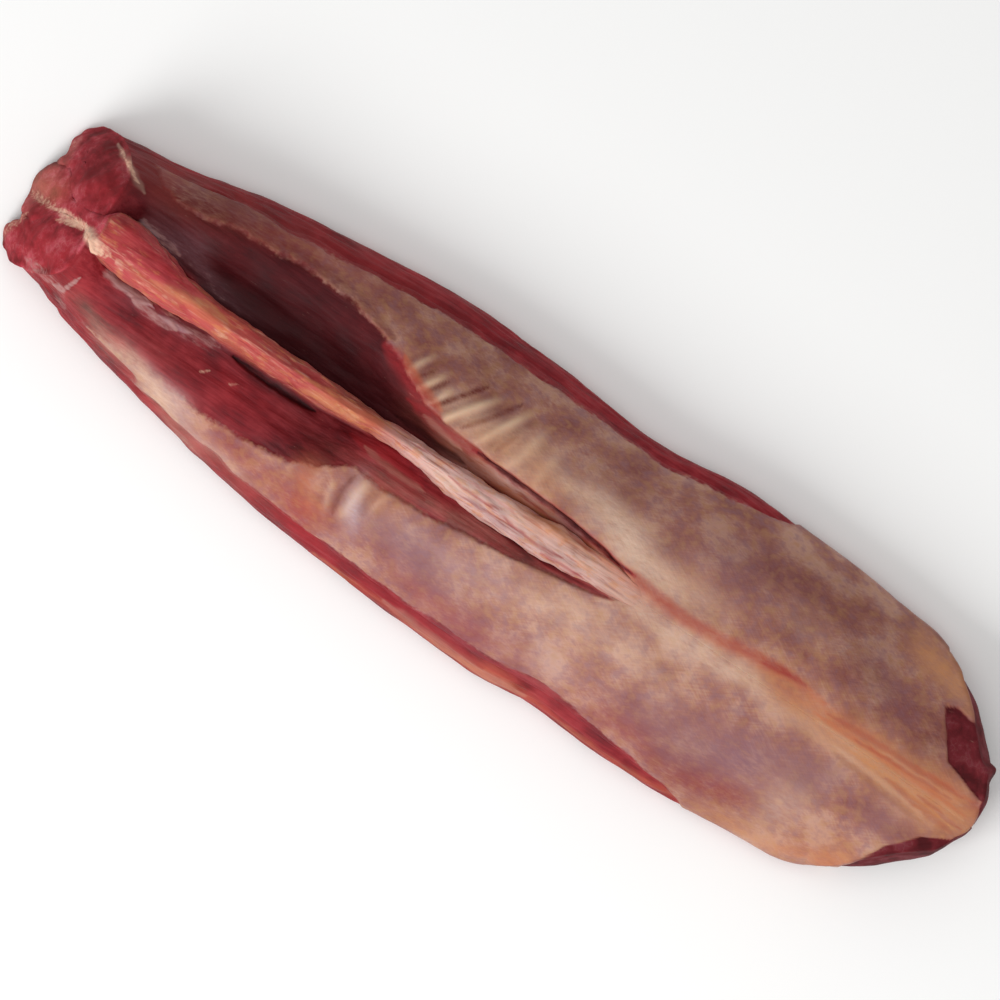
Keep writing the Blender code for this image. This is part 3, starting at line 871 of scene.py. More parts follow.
@dataclass(frozen=True)
class CutEnds:
    """The cut faces: a slanting one in front, and two crisp ones beside the nose behind."""

    # The front cut's reach, how far its lobes swell, and the furrow between them.
    front_reach: float = 62.0
    front_swell: float = 1.6
    furrow_depth: float = 1.6
    # Where the rear cut, its part on the left flank and the wall below its edge begin.
    rear_start: Span = (425.0, 440.0)
    left_start: Span = (481.0, 487.0)
    wall_start: Span = (484.0, 488.0)
    left_flank: float = -20.0
    # The edges of the rear cuts, seen from above, as (distance, Y) points.
    right_corners: Pairs = ((478, 38.6), (493, 18.8), (514, 12.4))
    right_limit: Pairs = ((478, 38.9), (483, 40.9), (492, 39.4), (497, 37.5), (514, 29.0))
    left_corners: Pairs = ((483, -42.0), (491, -29.0), (502, -16.5), (513, -10.5))

    def front(self, piece: FineMesh) -> Values:
        """The share of the front cut face on each vertex."""
        toward = -piece.normals[:, 0]
        return smooth(0.34, 0.52, toward) * smooth(self.front_reach, self.front_reach - 14, piece.distance)

    def back(self, piece: FineMesh) -> Values:
        """The share of the rear cut faces on each vertex.

        Args:
            piece: the mesh.

        Returns:
            One value for each vertex.
        """
        back, _, upwards = piece.normals.T
        face = smooth(0.36, 0.52, back) * smooth(*self.rear_start, piece.distance)
        left = piece.across < self.left_flank
        face *= np.where(left, smooth(*self.left_start, piece.distance), 1.0)
        wall = smooth(0.55, 0.35, upwards) * smooth(*self.wall_start, piece.distance)
        face = np.maximum(face, wall)
        right = self.beyond(piece, self.right_corners, 1)
        limit = np.interp(piece.distance, *np.array(self.right_limit).T)
        right = np.minimum(right, limit - piece.across)
        left = self.beyond(piece, self.left_corners, -1)
        edge = np.maximum(right, left) + 0.5 * piece.noise((7, 5, 9), 41)
        return np.maximum(face, smooth(-0.35, 0.35, edge) * smooth(-0.3, 0.0, upwards))

    def front_relief(self, piece: FineMesh, front: Values) -> Values:
        """The swell and lumps of the two front lobes, with the furrow between them.

        Args:
            piece: the mesh.
            front: the share of the front cut face.

        Returns:
            The relief, in millimetres.
        """
        lumps = 1.5 * piece.noise((13, 11, 11), 9) + 0.7 * piece.noise((4.5, 4, 4), 10)
        furrow = self.furrow_depth * hump(piece.across + 2.0, 4.0)
        return front * (lumps + self.front_swell - furrow)

    @staticmethod
    def beyond(piece: FineMesh, corners: Pairs, sign: int) -> Values:
        """How far each vertex lies beyond a bent line of cut.

        Args:
            piece: the mesh.
            corners: the line's (distance, Y) points, from the rim to the nose.
            sign: 1 on the right side, -1 on the left.

        Returns:
            Millimetres beyond the line, negative before it.
        """
        inside = np.full(len(piece.points), 1e3)
        for (x0, y0), (x1, y1) in zip(corners, corners[1:]):
            length = math.hypot(x1 - x0, y1 - y0)
            far, side = piece.distance - x0, piece.across - y0
            inside = np.minimum(inside, sign * (far * (y0 - y1) + side * (x1 - x0)) / length)
        return inside


@dataclass(frozen=True)
class RoundedCorner:
    """The corner between a flank and the rear cut, seen from above: its place and the cut's way."""

    distance: float
    out: float
    along_cut: tuple[float, float]
    reach: float

    def eased(self, distance: Values, out: Values) -> tuple[Values, Values]:
        """Round the corner off.

        Args:
            distance: places along the saddle.
            out: distances out from the middle line.

        Returns:
            How far each place moves along the saddle and outwards, in millimetres.
        """
        length = math.hypot(*self.along_cut)
        far, in_ = self.along_cut[0] / length, -self.along_cut[1] / length
        from_flank = self.out - out
        from_cut = (self.distance - distance) * in_ + from_flank * far
        a = np.clip(1 - from_flank / self.reach, 0.0, 1.0)
        b = np.clip(1 - from_cut / self.reach, 0.0, 1.0)
        both = np.maximum(np.hypot(a, b), 1e-6)
        shrink = self.reach * (1 - np.maximum(a, b) / both)
        inward = shrink * a
        return -(shrink * b - inward * far) / in_, -inward


CORNERS = {
    Side.RIGHT: RoundedCorner(469.0, 64.4, (35.0, -32.0), 11.0),
    Side.LEFT: RoundedCorner(468.6, 60.4, (35.0, -34.0), 13.0),
}


@dataclass(frozen=True)
class LoinChart:
    """What lies where on a loin: for each vertex, lengths in millimetres and shares from 0 to 1."""

    # How far out from the middle line, inside the skin's torn edge and outside its outer edge.
    out: Values
    bare: Values
    flank: Values
    # The shares of the cut ends, the underside, the wall beside the backbone, the part that
    # closes over it behind, and all that shows from above between the cut ends.
    front: Values
    back: Values
    under: Values
    wall: Values
    closed: Values
    top: Values
    # The height of the skin's folds and the depth of the furrows beside them.
    crest: Values
    valley: Values
    # The share of the crease beside the red band, the slit's depth, and the ledge's share.
    crease: Values
    slit: Values
    ledge: Values


@dataclass
class Loin:
    """One loin with its flank, under silver skin that is torn away beside the ridge.

    Behind the ridge the skin closes over the backbone, where the two loins meet.
    """

    side: Side
    ends: CutEnds = field(default_factory=CutEnds)
    # Where the skin closes over the backbone, how much of it is drawn in, and how far the right
    # side lies over the left one and above it.
    closing: Span = (312.0, 336.0)
    closing_reach: float = 14.0
    overlap: float = 0.8
    lift: float = 0.15
    # The ledge of ridge tissue at the ridge's foot, and how far the front cut laps the seam.
    ledge_height: float = 2.0
    ledge_width: float = 1.6
    seam_lap: float = 0.9
    # The heights below which the flank is red, along its foot and under the shoulder, and where
    # the shoulder ends.
    foot: Span = (9.5, 5.5)
    shoulder: Span = (36.0, 29.0)
    shoulder_end: Span = (104.0, 78.0)
    # Where the rear edge and the nose swell, how far, and the height of the scrap at the cut.
    swell_start: Span = (474.0, 492.0)
    swell_end: Span = (508.0, 518.0)
    nose_start: Span = (500.0, 510.0)
    rear_swell: float = 3.2
    scrap: float = 3.5
    nose_swell: float = 2.2
    # The relief of the finishes, and how much painted shade darkens the rear cut.
    skin_thickness: float = 0.9
    fibre_relief: float = 0.5
    lump_relief: float = 0.9
    band_relief: float = 0.7
    crease_depth: float = 1.2
    rear_painted_shade: float = 0.68

    def build(self, material: bpy.types.Material) -> bpy.types.Object:
        """Model the loin and dress it.

        Args:
            material: the finish that reads the painted values.

        Returns:
            The finished piece.
        """
        node = f"loin_{self.side.name.lower()}"
        piece = FineMesh(node, f"{node}_meat", self.is_fine)
        chart = self.chart(piece, self.close_midline(piece))
        piece.carve(self.relief(piece, chart) * (1 - chart.wall))
        self.paint(piece, chart)
        return piece.dress(material, node)

    def chart(self, piece: FineMesh, closed: Values) -> LoinChart:
        """Level the seam in front and work out what lies where.

        Args:
            piece: the loin's mesh.
            closed: the share that was drawn over the backbone.

        Returns:
            The loin's chart.
        """
        plan, sign = PLANS[self.side], self.side.value
        d, z = piece.distance, piece.points[:, 2]
        out = sign * piece.across
        inward, down = -sign * piece.normals[:, 1], -piece.normals[:, 2]
        ridge = sign * RIDGE_CENTRE.at(d) + RIDGE_HALF_WIDTH.at(d)
        piece.level_seam(out - ridge, -sign, self.seam_lap)
        rim, tear, width = plan.outline.at(d), plan.skin_edge.at(d), plan.band_width.at(d)

        # The skin's torn edge is ragged, but less so near the ridge and behind.
        ragged = 2.2 * piece.noise((11, 9, 400), 1) + 0.9 * piece.noise((4, 4, 400), 2)
        bare = tear - out + ragged * smooth(0, 12, tear - ridge) * (1 - 0.5 * smooth(195, 235, d))
        # Outside the skin there is red meat: the band along the rim, the foot of the flank, and
        # the flank's lower half under the shoulder.
        flank = out - (rim - width) + 1.6 * piece.noise((14, 6, 18), 3)
        flank -= 4.0 * smooth(2.5, 0.0, width)
        foot = smooth(*self.foot, z) * smooth(8, 5, rim - out)
        shoulder = smooth(*self.shoulder, z) * smooth(*self.shoulder_end, d)
        flank = np.maximum(flank, 6 * np.maximum(foot, shoulder) - 3)

        front, back = self.ends.front(piece), self.ends.back(piece)
        uncut = 1 - np.maximum(front, back)
        under = smooth(0.15, 0.45, down)
        beside = np.maximum(smooth(4, 1, out - ridge), smooth(34, 28, z) * smooth(24, 18, out))
        wall = smooth(0.35, 0.75, inward) * beside * (1 - closed) * uncut
        top = (1 - under) * uncut * (1 - wall)
        return LoinChart(
            out=out,
            bare=bare,
            flank=flank,
            front=front,
            back=back,
            under=under,
            wall=wall,
            closed=closed,
            top=top,
            crest=sum(wrinkle.crest(d, out) for wrinkle in plan.wrinkles),
            valley=sum(wrinkle.valley(d, out) for wrinkle in plan.wrinkles),
            crease=hump(flank - 0.35 * width, 1.0) * smooth(1, 4, width) * top,
            slit=plan.slit.at(d) * hump(bare - 0.2, 1.0) * top,
            ledge=self.ledge(d, out - ridge) * top,
        )

    def relief(self, piece: FineMesh, chart: LoinChart) -> Values:
        """The loin's relief.

        Args:
            piece: the loin's mesh.
            chart: what lies where.

        Returns:
            How far each vertex moves out, in millimetres.
        """
        top, ledge = chart.top, chart.ledge
        skin = smooth(0.6, -0.6, chart.bare) * smooth(0.6, -0.6, chart.flank) * top
        meat = smooth(-0.4, 0.8, chart.bare) * top
        band = smooth(-0.4, 0.8, chart.flank) * top
        height = piece.lay_tissues(chart.back) * (1 - chart.under)
        height += self.skin_thickness * (skin - 0.5) * top
        height += skin * (chart.crest - 0.5 * chart.valley)
        height += skin * (0.5 * piece.noise((30, 16, 16), 4) + 0.15 * piece.noise((6, 5, 5), 5))
        height += meat * self.fibre_relief * piece.noise((22, 3.0, 3.0), 6)
        height += meat * self.lump_relief * piece.noise((15, 10, 10), 7)
        height += band * self.band_relief * piece.noise((16, 3.0, 3.0), 8)
        height -= self.crease_depth * chart.crease
        height *= 1 - 0.8 * chart.closed
        height = height * (1 - 0.6 * ledge) + self.ledge_height * ledge - chart.slit
        height += self.ends.front_relief(piece, chart.front)
        height += chart.back * (0.25 * piece.noise((5, 5, 5), 10) - 0.5)
        height += chart.under * 0.6 * piece.noise((16, 12, 12), 11)
        return height + self.rear_relief(piece, chart.out)

    def rear_relief(self, piece: FineMesh, out: Values) -> Values:
        """The swell of the flank's rear edge and of the nose, with the scrap on the right.

        Args:
            piece: the loin's mesh.
            out: distances out from the middle line.

        Returns:
            The relief, in millimetres.
        """
        d, z = piece.distance, piece.points[:, 2]
        swell = self.rear_swell * smooth(*self.swell_start, d) * (1 - smooth(*self.swell_end, d))
        nose = hump(out, 7)
        if self.side is Side.RIGHT:
            scrap = self.scrap * hump(d - 510, 3.5) * hump(out - 24.5, 3.5) * smooth(26, 34, z)
            swell = 0.8 * swell + scrap
            nose += self.nose_swell * hump(out - 14, 7)
        swell *= smooth(0.2, 0.6, self.side.value * piece.normals[:, 1]) * smooth(4, 12, z)
        nose *= smooth(0.3, 0.6, piece.normals[:, 0]) * smooth(*self.nose_start, d)
        return swell + nose * smooth(6, 20, z)

    def paint(self, piece: FineMesh, chart: LoinChart) -> None:
        """Store what the finish reads.

        Args:
            piece: the loin's mesh.
            chart: what lies where.
        """
        plan, d, out = PLANS[self.side], piece.distance, chart.out
        tear = plan.skin_edge.at(d)
        ridge = self.side.value * RIDGE_CENTRE.at(d) + RIDGE_HALF_WIDTH.at(d)
        leaf = self.leaf_share(piece, out, tear) * chart.top
        # Painted shade, with some of the meat's own darker tone: darkest in the hollow beside the ridge,
        # lighter towards the skin.
        near = smooth(0.0, 0.9, (out - ridge) / np.maximum(tear - ridge, 6))
        dark_meat_and_shade = plan.dark_meat_and_shade.at(d) * (1.0 - 0.15 * near) * smooth(-2.5, 1.5, chart.bare)
        dark_meat_and_shade *= (1 - chart.front) * (1 - chart.under)
        # Painted shade in the furrows beside the folds, in the crease by the red band and in the slit.
        furrows = chart.valley + 1.2 * chart.crease + 0.6 * chart.slit
        painted = {
            "bare": chart.bare,
            "flank": chart.flank,
            "under": np.maximum(chart.under, chart.wall),
            "cut": np.maximum(chart.front, chart.back),
            "crest": np.clip(chart.crest, 0, 1.5),
            "valley": np.clip(furrows, 0, 1.5),
            "ridge": np.maximum(chart.ledge, leaf),
            # Painted shade over the rear cut as well.
            "dark_meat_and_shade": np.maximum(dark_meat_and_shade, self.rear_painted_shade * chart.back),
        }
        for name, values in painted.items():
            piece.paint(name, values)

    def close_midline(self, piece: FineMesh) -> Values:
        """Round the flank's rear corner off and draw the inner edge over the flush backbone.

        Args:
            piece: the loin's mesh.

        Returns:
            How far each vertex was drawn towards the middle, from 0 to 1.
        """
        sign = self.side.value
        d, z = piece.distance, piece.points[:, 2]
        out = sign * piece.across
        ahead, outwards = CORNERS[self.side].eased(d, out)
        half = RIDGE_HALF_WIDTH.at(d)
        edge = sign * RIDGE_CENTRE.at(d) + half + 0.3
        near = np.clip(1 - (out - edge) / self.closing_reach, 0, 1)
        rear = smooth(498, 508, d)
        shallow = smooth(12.0, 2.0, MIDLINE_TOP.at(d) - z)
        drawn = smooth(*self.closing, d)
        drawn *= (1 - rear) * smooth(0.12, 0.4, piece.normals[:, 2]) + rear * shallow
        drawn *= out - edge > -1.5
        # The right skin lies over the left one, which runs on under it.
        beyond = self.overlap if self.side is Side.RIGHT else 0.6 * self.overlap + rear
        lift = self.lift if self.side is Side.RIGHT else 0.0
        level = smooth(0.2, 1.0, near) * drawn
        moved = piece.points.copy()
        moved[:, 0] += ahead
        moved[:, 1] = sign * (out + outwards - drawn * (half + 0.3 + beyond) * near**1.5)
        moved[:, 2] += level * (MIDLINE_TOP.at(d) + lift - z)
        piece.move(moved)
        upright = piece.normals * (1 - level[:, None]) + np.array((0.0, 0.0, 1.0)) * level[:, None]
        piece.normals = upright / np.linalg.norm(upright, axis=1, keepdims=True)
        return level

    def ledge(self, distance: Values, beyond: Values) -> Values:
        """The share of ridge tissue that spreads onto the left loin at the ridge's foot.

        Args:
            distance: places along the saddle.
            beyond: distances out from the ridge's side.

        Returns:
            The ledge's share, from 0 to 1.
        """
        if self.side is Side.RIGHT:
            return np.zeros(len(distance))
        along = smooth(104, 118, distance) * (1 - smooth(178, 198, distance))
        return along * (1 - smooth(0.7 * self.ledge_width, 1.3 * self.ledge_width, beyond))

    def leaf_share(self, piece: FineMesh, out: Values, tear: Values) -> Values:
        """The share of ridge tissue on the loin beside the pale leaf and over its tip.

        Args:
            piece: the loin's mesh.
            out: distances out from the middle line.
            tear: where the silver skin starts.

        Returns:
            The share, from 0 to 1.
        """
        d = piece.distance
        beyond = np.abs(piece.across - RIDGE_CENTRE.at(d)) - RIDGE_HALF_WIDTH.at(d)
        tip = smooth(1.4, -1.0, beyond) * smooth(312, 322, d) * (1 - smooth(322, 352, d))
        if self.side is Side.LEFT:
            return tip
        strip = smooth(0.0, 1.6, tear - out) * smooth(212, 262, d) * (1 - smooth(322, 340, d))
        return np.maximum(tip, strip)

    @staticmethod
    def is_fine(face: Face) -> bool:
        """Whether the face is on the upper side or at an end, where the relief shows."""
        return face.normal.z > 0.12 or abs(face.normal.x) > 0.5


@dataclass
class Backbone:
    """The backbone: its ridge of bone tips, gristle and fat above, the vertebrae below."""

    ends: CutEnds = field(default_factory=CutEnds)
    # The ridge's relief, and how far its sides press into the loins.
    strand_relief: float = 0.8
    lump_relief: float = 1.2
    overlap: float = 0.6
    # How far it lies below the skin behind, and how far its rear end stands in.
    sunk: float = 1.3
    tucked: float = 2.4
    # How the front cut meets the seam, and how much painted shade darkens the rear cut.
    seam_lap: float = 0.3
    seam_sunk: float = 0.2
    rear_painted_shade: float = 0.5

    def build(self, material: bpy.types.Material) -> bpy.types.Object:
        """Model the backbone and dress it.

        Args:
            material: the finish that reads the painted values.

        Returns:
            The finished piece.
        """
        piece = FineMesh("backbone", "backbone_ridge", self.is_fine)
        d = piece.distance
        z = piece.points[:, 2]
        across = piece.across - RIDGE_CENTRE.at(d)
        half = RIDGE_HALF_WIDTH.at(d)
        piece.level_seam(half - np.abs(across), np.sign(across), self.seam_lap)
        tuck = 0.6 + 0.4 * smooth(16, 5, MIDLINE_TOP.at(d) - z)
        piece.points[:, 0] -= self.tucked * smooth(496, 519, d) * tuck
        top = smooth(36, 42, z) * smooth(-0.4, 0.0, piece.normals[:, 2])
        front, back = self.ends.front(piece), self.ends.back(piece)
        cut = np.maximum(front, back)
        # The ridge stands proud in front, and the loins' skin covers it behind.
        proud = 1 - smooth(300, 340, d)
        covered = smooth(330, 346, d)
        strands = piece.noise((34, 2.6, 4.5), 21) + 0.6 * piece.noise((14, 1.5, 2.5), 22)
        lumps = piece.noise((13, 7, 7), 23) + 0.5 * piece.noise((5, 4, 4), 26)
        height = piece.lay_tissues(back) * top
        height += top * (1 - cut) * (0.2 + 0.8 * proud) * self.strand_relief * strands
        height += top * (1 - cut) * proud * self.lump_relief * lumps
        height -= top * self.sunk * covered
        height += (1 - top) * (1 - cut) * 0.3 * piece.noise((9, 9, 9), 24)
        height += self.ends.front_relief(piece, front)
        height -= self.seam_sunk * front * hump(half - np.abs(across), 2.5)
        piece.carve(height, self.overlap * (1 - covered))

        for name, values in {"bare": -20.0, "flank": -20.0, "crest": 0.0, "valley": 0.0}.items():
            piece.paint(name, values)
        piece.paint("under", 1 - top)
        piece.paint("cut", cut)
        shown = np.clip(1.4 - 0.55 * np.abs(across) / half, 0, 1) * top * (1 - front)
        piece.paint("ridge", shown * (1 - smooth(322, 350, d)))
        # Painted shade over the rear cut.
        piece.paint("dark_meat_and_shade", self.rear_painted_shade * back)
        return piece.dress(material, "backbone")

    @staticmethod
    def is_fine(face: Face) -> bool:
        """Whether the face is on the ridge or in front, where the relief shows."""
        high = face.calc_center_median().z > 36 * MM and face.normal.z > -0.3
        return high or face.normal.x < -0.4


RGBA = {"data_type": "RGBA"}
SMOOTH = {"interpolation_type": "SMOOTHSTEP"}
# Smooth noise lies mostly between these values.
NOISE_RANGE = {"From Min": 0.3, "From Max": 0.7}


def ranged(pattern: Socket, over: Span) -> dict[str, object]:
    """The inputs with which a Map Range node spreads smooth noise over two values."""
    return {"Value": pattern, **NOISE_RANGE, "To Min": over[0], "To Max": over[1]}


def sized(place: Socket, *size: float) -> dict[str, object]:
    """The inputs with which a Mapping node gives a pattern its size, in millimetres along X, Y, Z."""
    return {"Vector": place, "Scale": tuple(1 / (side * MM) for side in size)}


def add(
    tree: Tree,
    kind: str,
    links: dict[str | int, object] | None = None,
    settings: dict[str, object] | None = None,
    stops: Stops = (),
    output: str | int = 0,
) -> Socket:
    """Add a node with its settings and links.

    Args:
        tree: the node tree.
        kind: the node's type, without its leading ShaderNode.
        links: for each input, by name or number, a socket to link or a plain value.
        settings: values of the node's own properties.
        stops: a colour ramp's stops, each a place from 0 to 1 and its sRGB colour.
        output: the output that is wanted, by name or number.

    Returns:
        The wanted output.
    """
    node = tree.nodes.new("ShaderNode" + kind)
    for name, value in (settings or {}).items():
        setattr(node, name, value)
    for place, value in (links or {}).items():
        if isinstance(value, Socket):
            tree.links.new(value, node.inputs[place])
        else:
            node.inputs[place].default_value = value
    if stops:
        elements = node.color_ramp.elements
        while len(elements) < len(stops):
            elements.new(0.5)
        for element, (place, colour) in zip(elements, stops):
            element.position = place
            element.color = linear(colour)
    return node.outputs[output]


@dataclass(frozen=True)
class Coat:
    """One layer of the surface: its colour, roughness and relief, as node sockets."""

    colour: Socket
    roughness: Socket
    relief: Socket

    def under(self, tree: Tree, upper: "Coat", share: Socket) -> "Coat":
        """Lay another layer over this one.

        Args:
            tree: the node tree.
            upper: the layer on top.
            share: how much of the upper layer shows.

        Returns:
            The two as one layer.
        """
        colour = add(tree, "Mix", {0: share, 6: self.colour, 7: upper.colour}, RGBA, output=2)
        roughness = add(tree, "Mix", {0: share, 2: self.roughness, 3: upper.roughness})
        relief = add(tree, "Mix", {0: share, 2: self.relief, 3: upper.relief})
        return Coat(colour, roughness, relief)

    def tinted(self, tree: Tree, colour: str, share: Socket) -> "Coat":
        """Blend a plain tone, given as its sRGB colour, into this layer by a share."""
        mixed = add(tree, "Mix", {0: share, 6: self.colour, 7: linear(colour)}, RGBA, output=2)
        return Coat(mixed, self.roughness, self.relief)


@dataclass(frozen=True)
class Muscle:
    """Bare venison muscle, raw, pulled apart along its own seams."""

    # Lean game meat is darker than beef, and it dries to a dull deep red with a moist gleam in
    # places. Its grain runs along the saddle. The real bundles of fibre are about 0.5 mm wide,
    # too fine to show here, so they are drawn three times as wide.
    deep: str = "#56131a"
    plain: str = "#821e26"
    bright: str = "#9c3137"
    fibre_length: float = 15.0
    fibre_width: float = 1.5
    blotch: float = 14.0
    roughness: Span = (0.5, 0.66)

    def coat(self, tree: Tree, place: Socket) -> Coat:
        """Make the layer's nodes.

        Args:
            tree: the node tree.
            place: the surface's position.

        Returns:
            The layer.
        """
        links = sized(place, self.fibre_length, self.fibre_width, self.fibre_width)
        fibres = add(tree, "Mapping", links)
        links = {"Vector": fibres, "Scale": 1.0, "Detail": 4.0, "Roughness": 0.6}
        fibre = add(tree, "TexNoise", links)
        links = {"Vector": place, "Scale": 1 / (self.blotch * MM), "Detail": 3.0}
        blotch = add(tree, "TexNoise", links)
        tone = add(tree, "Math", {0: fibre, 1: 0.6, 2: blotch}, {"operation": "MULTIPLY_ADD"})
        stops = ((0.52, self.deep), (0.78, self.plain), (1.0, self.bright))
        colour = add(tree, "ValToRGB", {0: tone}, stops=stops)
        gloss = add(tree, "MapRange", ranged(blotch, self.roughness))
        return Coat(colour, gloss, fibre)


@dataclass(frozen=True)
class CutFace:
    """Venison muscle cut across its grain with a knife."""

    # A knife leaves the ends of the fibre bundles bare, so the face is brighter than the meat's
    # sides and dull, with pale threads of tissue between the bundles. Real bundles are about
    # 1 mm across and are drawn 3.2 mm, so that the threads show.
    dark: str = "#6c1b20"
    plain: str = "#a1323c"
    pink: str = "#c25a66"
    thread: str = "#cc9088"
    bundle: float = 3.2
    blotch: float = 11.0
    roughness: Span = (0.75, 0.9)

    def coat(self, tree: Tree, place: Socket) -> Coat:
        """Make the layer's nodes.

        Args:
            tree: the node tree.
            place: the surface's position.

        Returns:
            The layer.
        """
        links = {"Vector": place, "Scale": 1 / (self.blotch * MM), "Detail": 5.0, "Roughness": 0.62}
        blotch = add(tree, "TexNoise", links)
        stops = ((0.36, self.dark), (0.52, self.plain), (0.68, self.pink))
        meat = add(tree, "ValToRGB", {0: blotch}, stops=stops)
        links = {"Vector": place, "Scale": 1 / (self.bundle * MM), "Randomness": 1.0}
        bundles = add(tree, "TexVoronoi", links, {"feature": "DISTANCE_TO_EDGE"})
        between = add(tree, "MapRange", {"Value": bundles, "From Min": 0.10, "From Max": 0.0}, SMOOTH)
        links = {"Value": blotch, "From Min": 0.46, "From Max": 0.62, "To Max": 0.22}
        patchy = add(tree, "MapRange", links, SMOOTH)
        shown = add(tree, "Math", {0: between, 1: patchy}, {"operation": "MULTIPLY"})
        gloss = add(tree, "MapRange", ranged(blotch, self.roughness))
        return Coat(meat, gloss, blotch).tinted(tree, self.thread, shown)


@dataclass(frozen=True)
class SilverSkin:
    """Silver skin: the tough, thin sheet of white fibre that wraps the loins."""

    # It is half clear, so the meat shows through it mauve and brown where it is thin, and it is
    # pearly cream where it is thick or folded. Its two crossing layers of oblique threads give a
    # faint satin sheen. The real threads are about 0.1 mm wide, and are drawn 0.9 mm to show.
    # Its dark furrows are painted shade, and the cream on its folds is partly a painted highlight.
    thin: str = "#885149"
    plain: str = "#a06b5e"
    thick: str = "#b98c7a"
    golden: str = "#b08058"
    mauve: str = "#87606a"
    crest: str = "#dcbc9c"
    furrow: str = "#6a342c"
    thread_length: float = 13.0
    thread_width: float = 0.9
    thread_angle: float = 31.0
    cloud: float = 17.0
    mottle: float = 4.5
    roughness: Span = (0.5, 0.36)

    def coat(self, tree: Tree, place: Socket) -> Coat:
        """Make the layer's nodes.

        Args:
            tree: the node tree.
            place: the surface's position.

        Returns:
            The layer.
        """
        sheets = []
        for turn in (self.thread_angle, -self.thread_angle):
            links = {"Vector": place, "Rotation": (0.0, 0.0, math.radians(turn))}
            turned = add(tree, "Mapping", links)
            links = sized(turned, self.thread_length, self.thread_width, self.thread_width)
            drawn_out = add(tree, "Mapping", links)
            sheets.append(add(tree, "TexNoise", {"Vector": drawn_out, "Scale": 1.0, "Detail": 2.0}))
        threads = add(tree, "Math", {0: sheets[0], 1: sheets[1]}, {"operation": "ADD"})
        links = {"Vector": place, "Scale": 1 / (self.cloud * MM), "Detail": 3.0, "Roughness": 0.5}
        cloud = add(tree, "TexNoise", links)
        tone = add(tree, "Math", {0: threads, 1: 0.2, 2: cloud}, {"operation": "MULTIPLY_ADD"})
        stops = ((0.50, self.thin), (0.70, self.plain), (0.86, self.thick))
        colour = add(tree, "ValToRGB", {0: tone}, stops=stops)
        links = {"Vector": place, "Scale": 1 / (self.mottle * MM), "Detail": 2.0}
        mottle = add(tree, "TexNoise", links)
        gloss = add(tree, "MapRange", ranged(cloud, self.roughness))
        layer = Coat(colour, gloss, tone)
        for tone_colour, low_end in ((self.golden, 0.7), (self.mauve, 0.3)):
            links = {"Value": mottle, "From Min": 0.5, "From Max": low_end, "To Max": 0.5}
            layer = layer.tinted(tree, tone_colour, add(tree, "MapRange", links))
        # Painted shade in the furrows, and pale cream on the folds' crests, partly a painted highlight.
        for name, tone_colour, most in (("valley", self.furrow, 0.8), ("crest", self.crest, 0.85)):
            painted = add(tree, "Attribute", settings={"attribute_name": name}, output="Fac")
            links = {"Value": painted, "From Max": 1.3, "To Max": most}
            layer = layer.tinted(tree, tone_colour, add(tree, "MapRange", links))
        return layer


@dataclass(frozen=True)
class RidgeTissue:
    """The ridge: trimmed bone tips and gristle under scraps of red meat, pink fat and membrane."""

    # Red and wet in front, where meat clings to the bone, and pale pink and waxy on the leaf of
    # gristle behind it. The fat lies in long strands, of which the finest are drawn 1.4 mm wide,
    # about twice their real width.
    along: Stops = (
        (40, "#b24846"),
        (75, "#ba484e"),
        (110, "#b85048"),
        (160, "#b4524e"),
        (192, "#aa5848"),
        (214, "#d2a59c"),
        (258, "#cda69f"),
        (300, "#c8a09a"),
        (350, "#c08f80"),
    )
    red: str = "#8c2a2e"
    fat: str = "#deaa94"
    golden: str = "#cc8452"
    strand_length: float = 16.0
    strand_width: float = 1.4
    strand_depth: float = 3.0
    fleck: float = 3.2
    fleck_stretch: float = 2.4
    roughness: Span = (0.5, 0.38)

    def coat(self, tree: Tree, place: Socket) -> Coat:
        """Make the layer's nodes.

        Args:
            tree: the node tree.
            place: the surface's position.

        Returns:
            The layer.
        """
        low, high = self.along[0][0], self.along[-1][0]
        ends = {"From Min": (low + SHOULDER_CUT) * MM, "From Max": (high + SHOULDER_CUT) * MM}
        share = add(tree, "MapRange", {"Value": add(tree, "SeparateXYZ", {0: place}), **ends})
        stops = tuple(((at - low) / (high - low), colour) for at, colour in self.along)
        colour = add(tree, "ValToRGB", {0: share}, stops=stops)
        links = sized(place, self.strand_length, self.strand_width, self.strand_depth)
        links = {"Vector": add(tree, "Mapping", links), "Scale": 1.0, "Detail": 3.0, "Roughness": 0.55}
        strand = add(tree, "TexNoise", links)
        links = sized(place, self.fleck_stretch * self.fleck, self.fleck, self.fleck)
        links = {"Vector": add(tree, "Mapping", links), "Scale": 1.0, "Detail": 3.0, "Roughness": 0.6}
        fleck = add(tree, "TexNoise", links)
        gloss = add(tree, "MapRange", ranged(strand, self.roughness))
        layer = Coat(colour, gloss, strand)
        for tone_colour, pattern, start, end, most in (
            (self.golden, fleck, 0.5, 0.66, 0.55),
            (self.red, strand, 0.48, 0.3, 0.6),
            (self.fat, strand, 0.54, 0.74, 0.6),
        ):
            links = {"Value": pattern, "From Min": start, "From Max": end, "To Max": most}
            layer = layer.tinted(tree, tone_colour, add(tree, "MapRange", links, SMOOTH))
        return layer


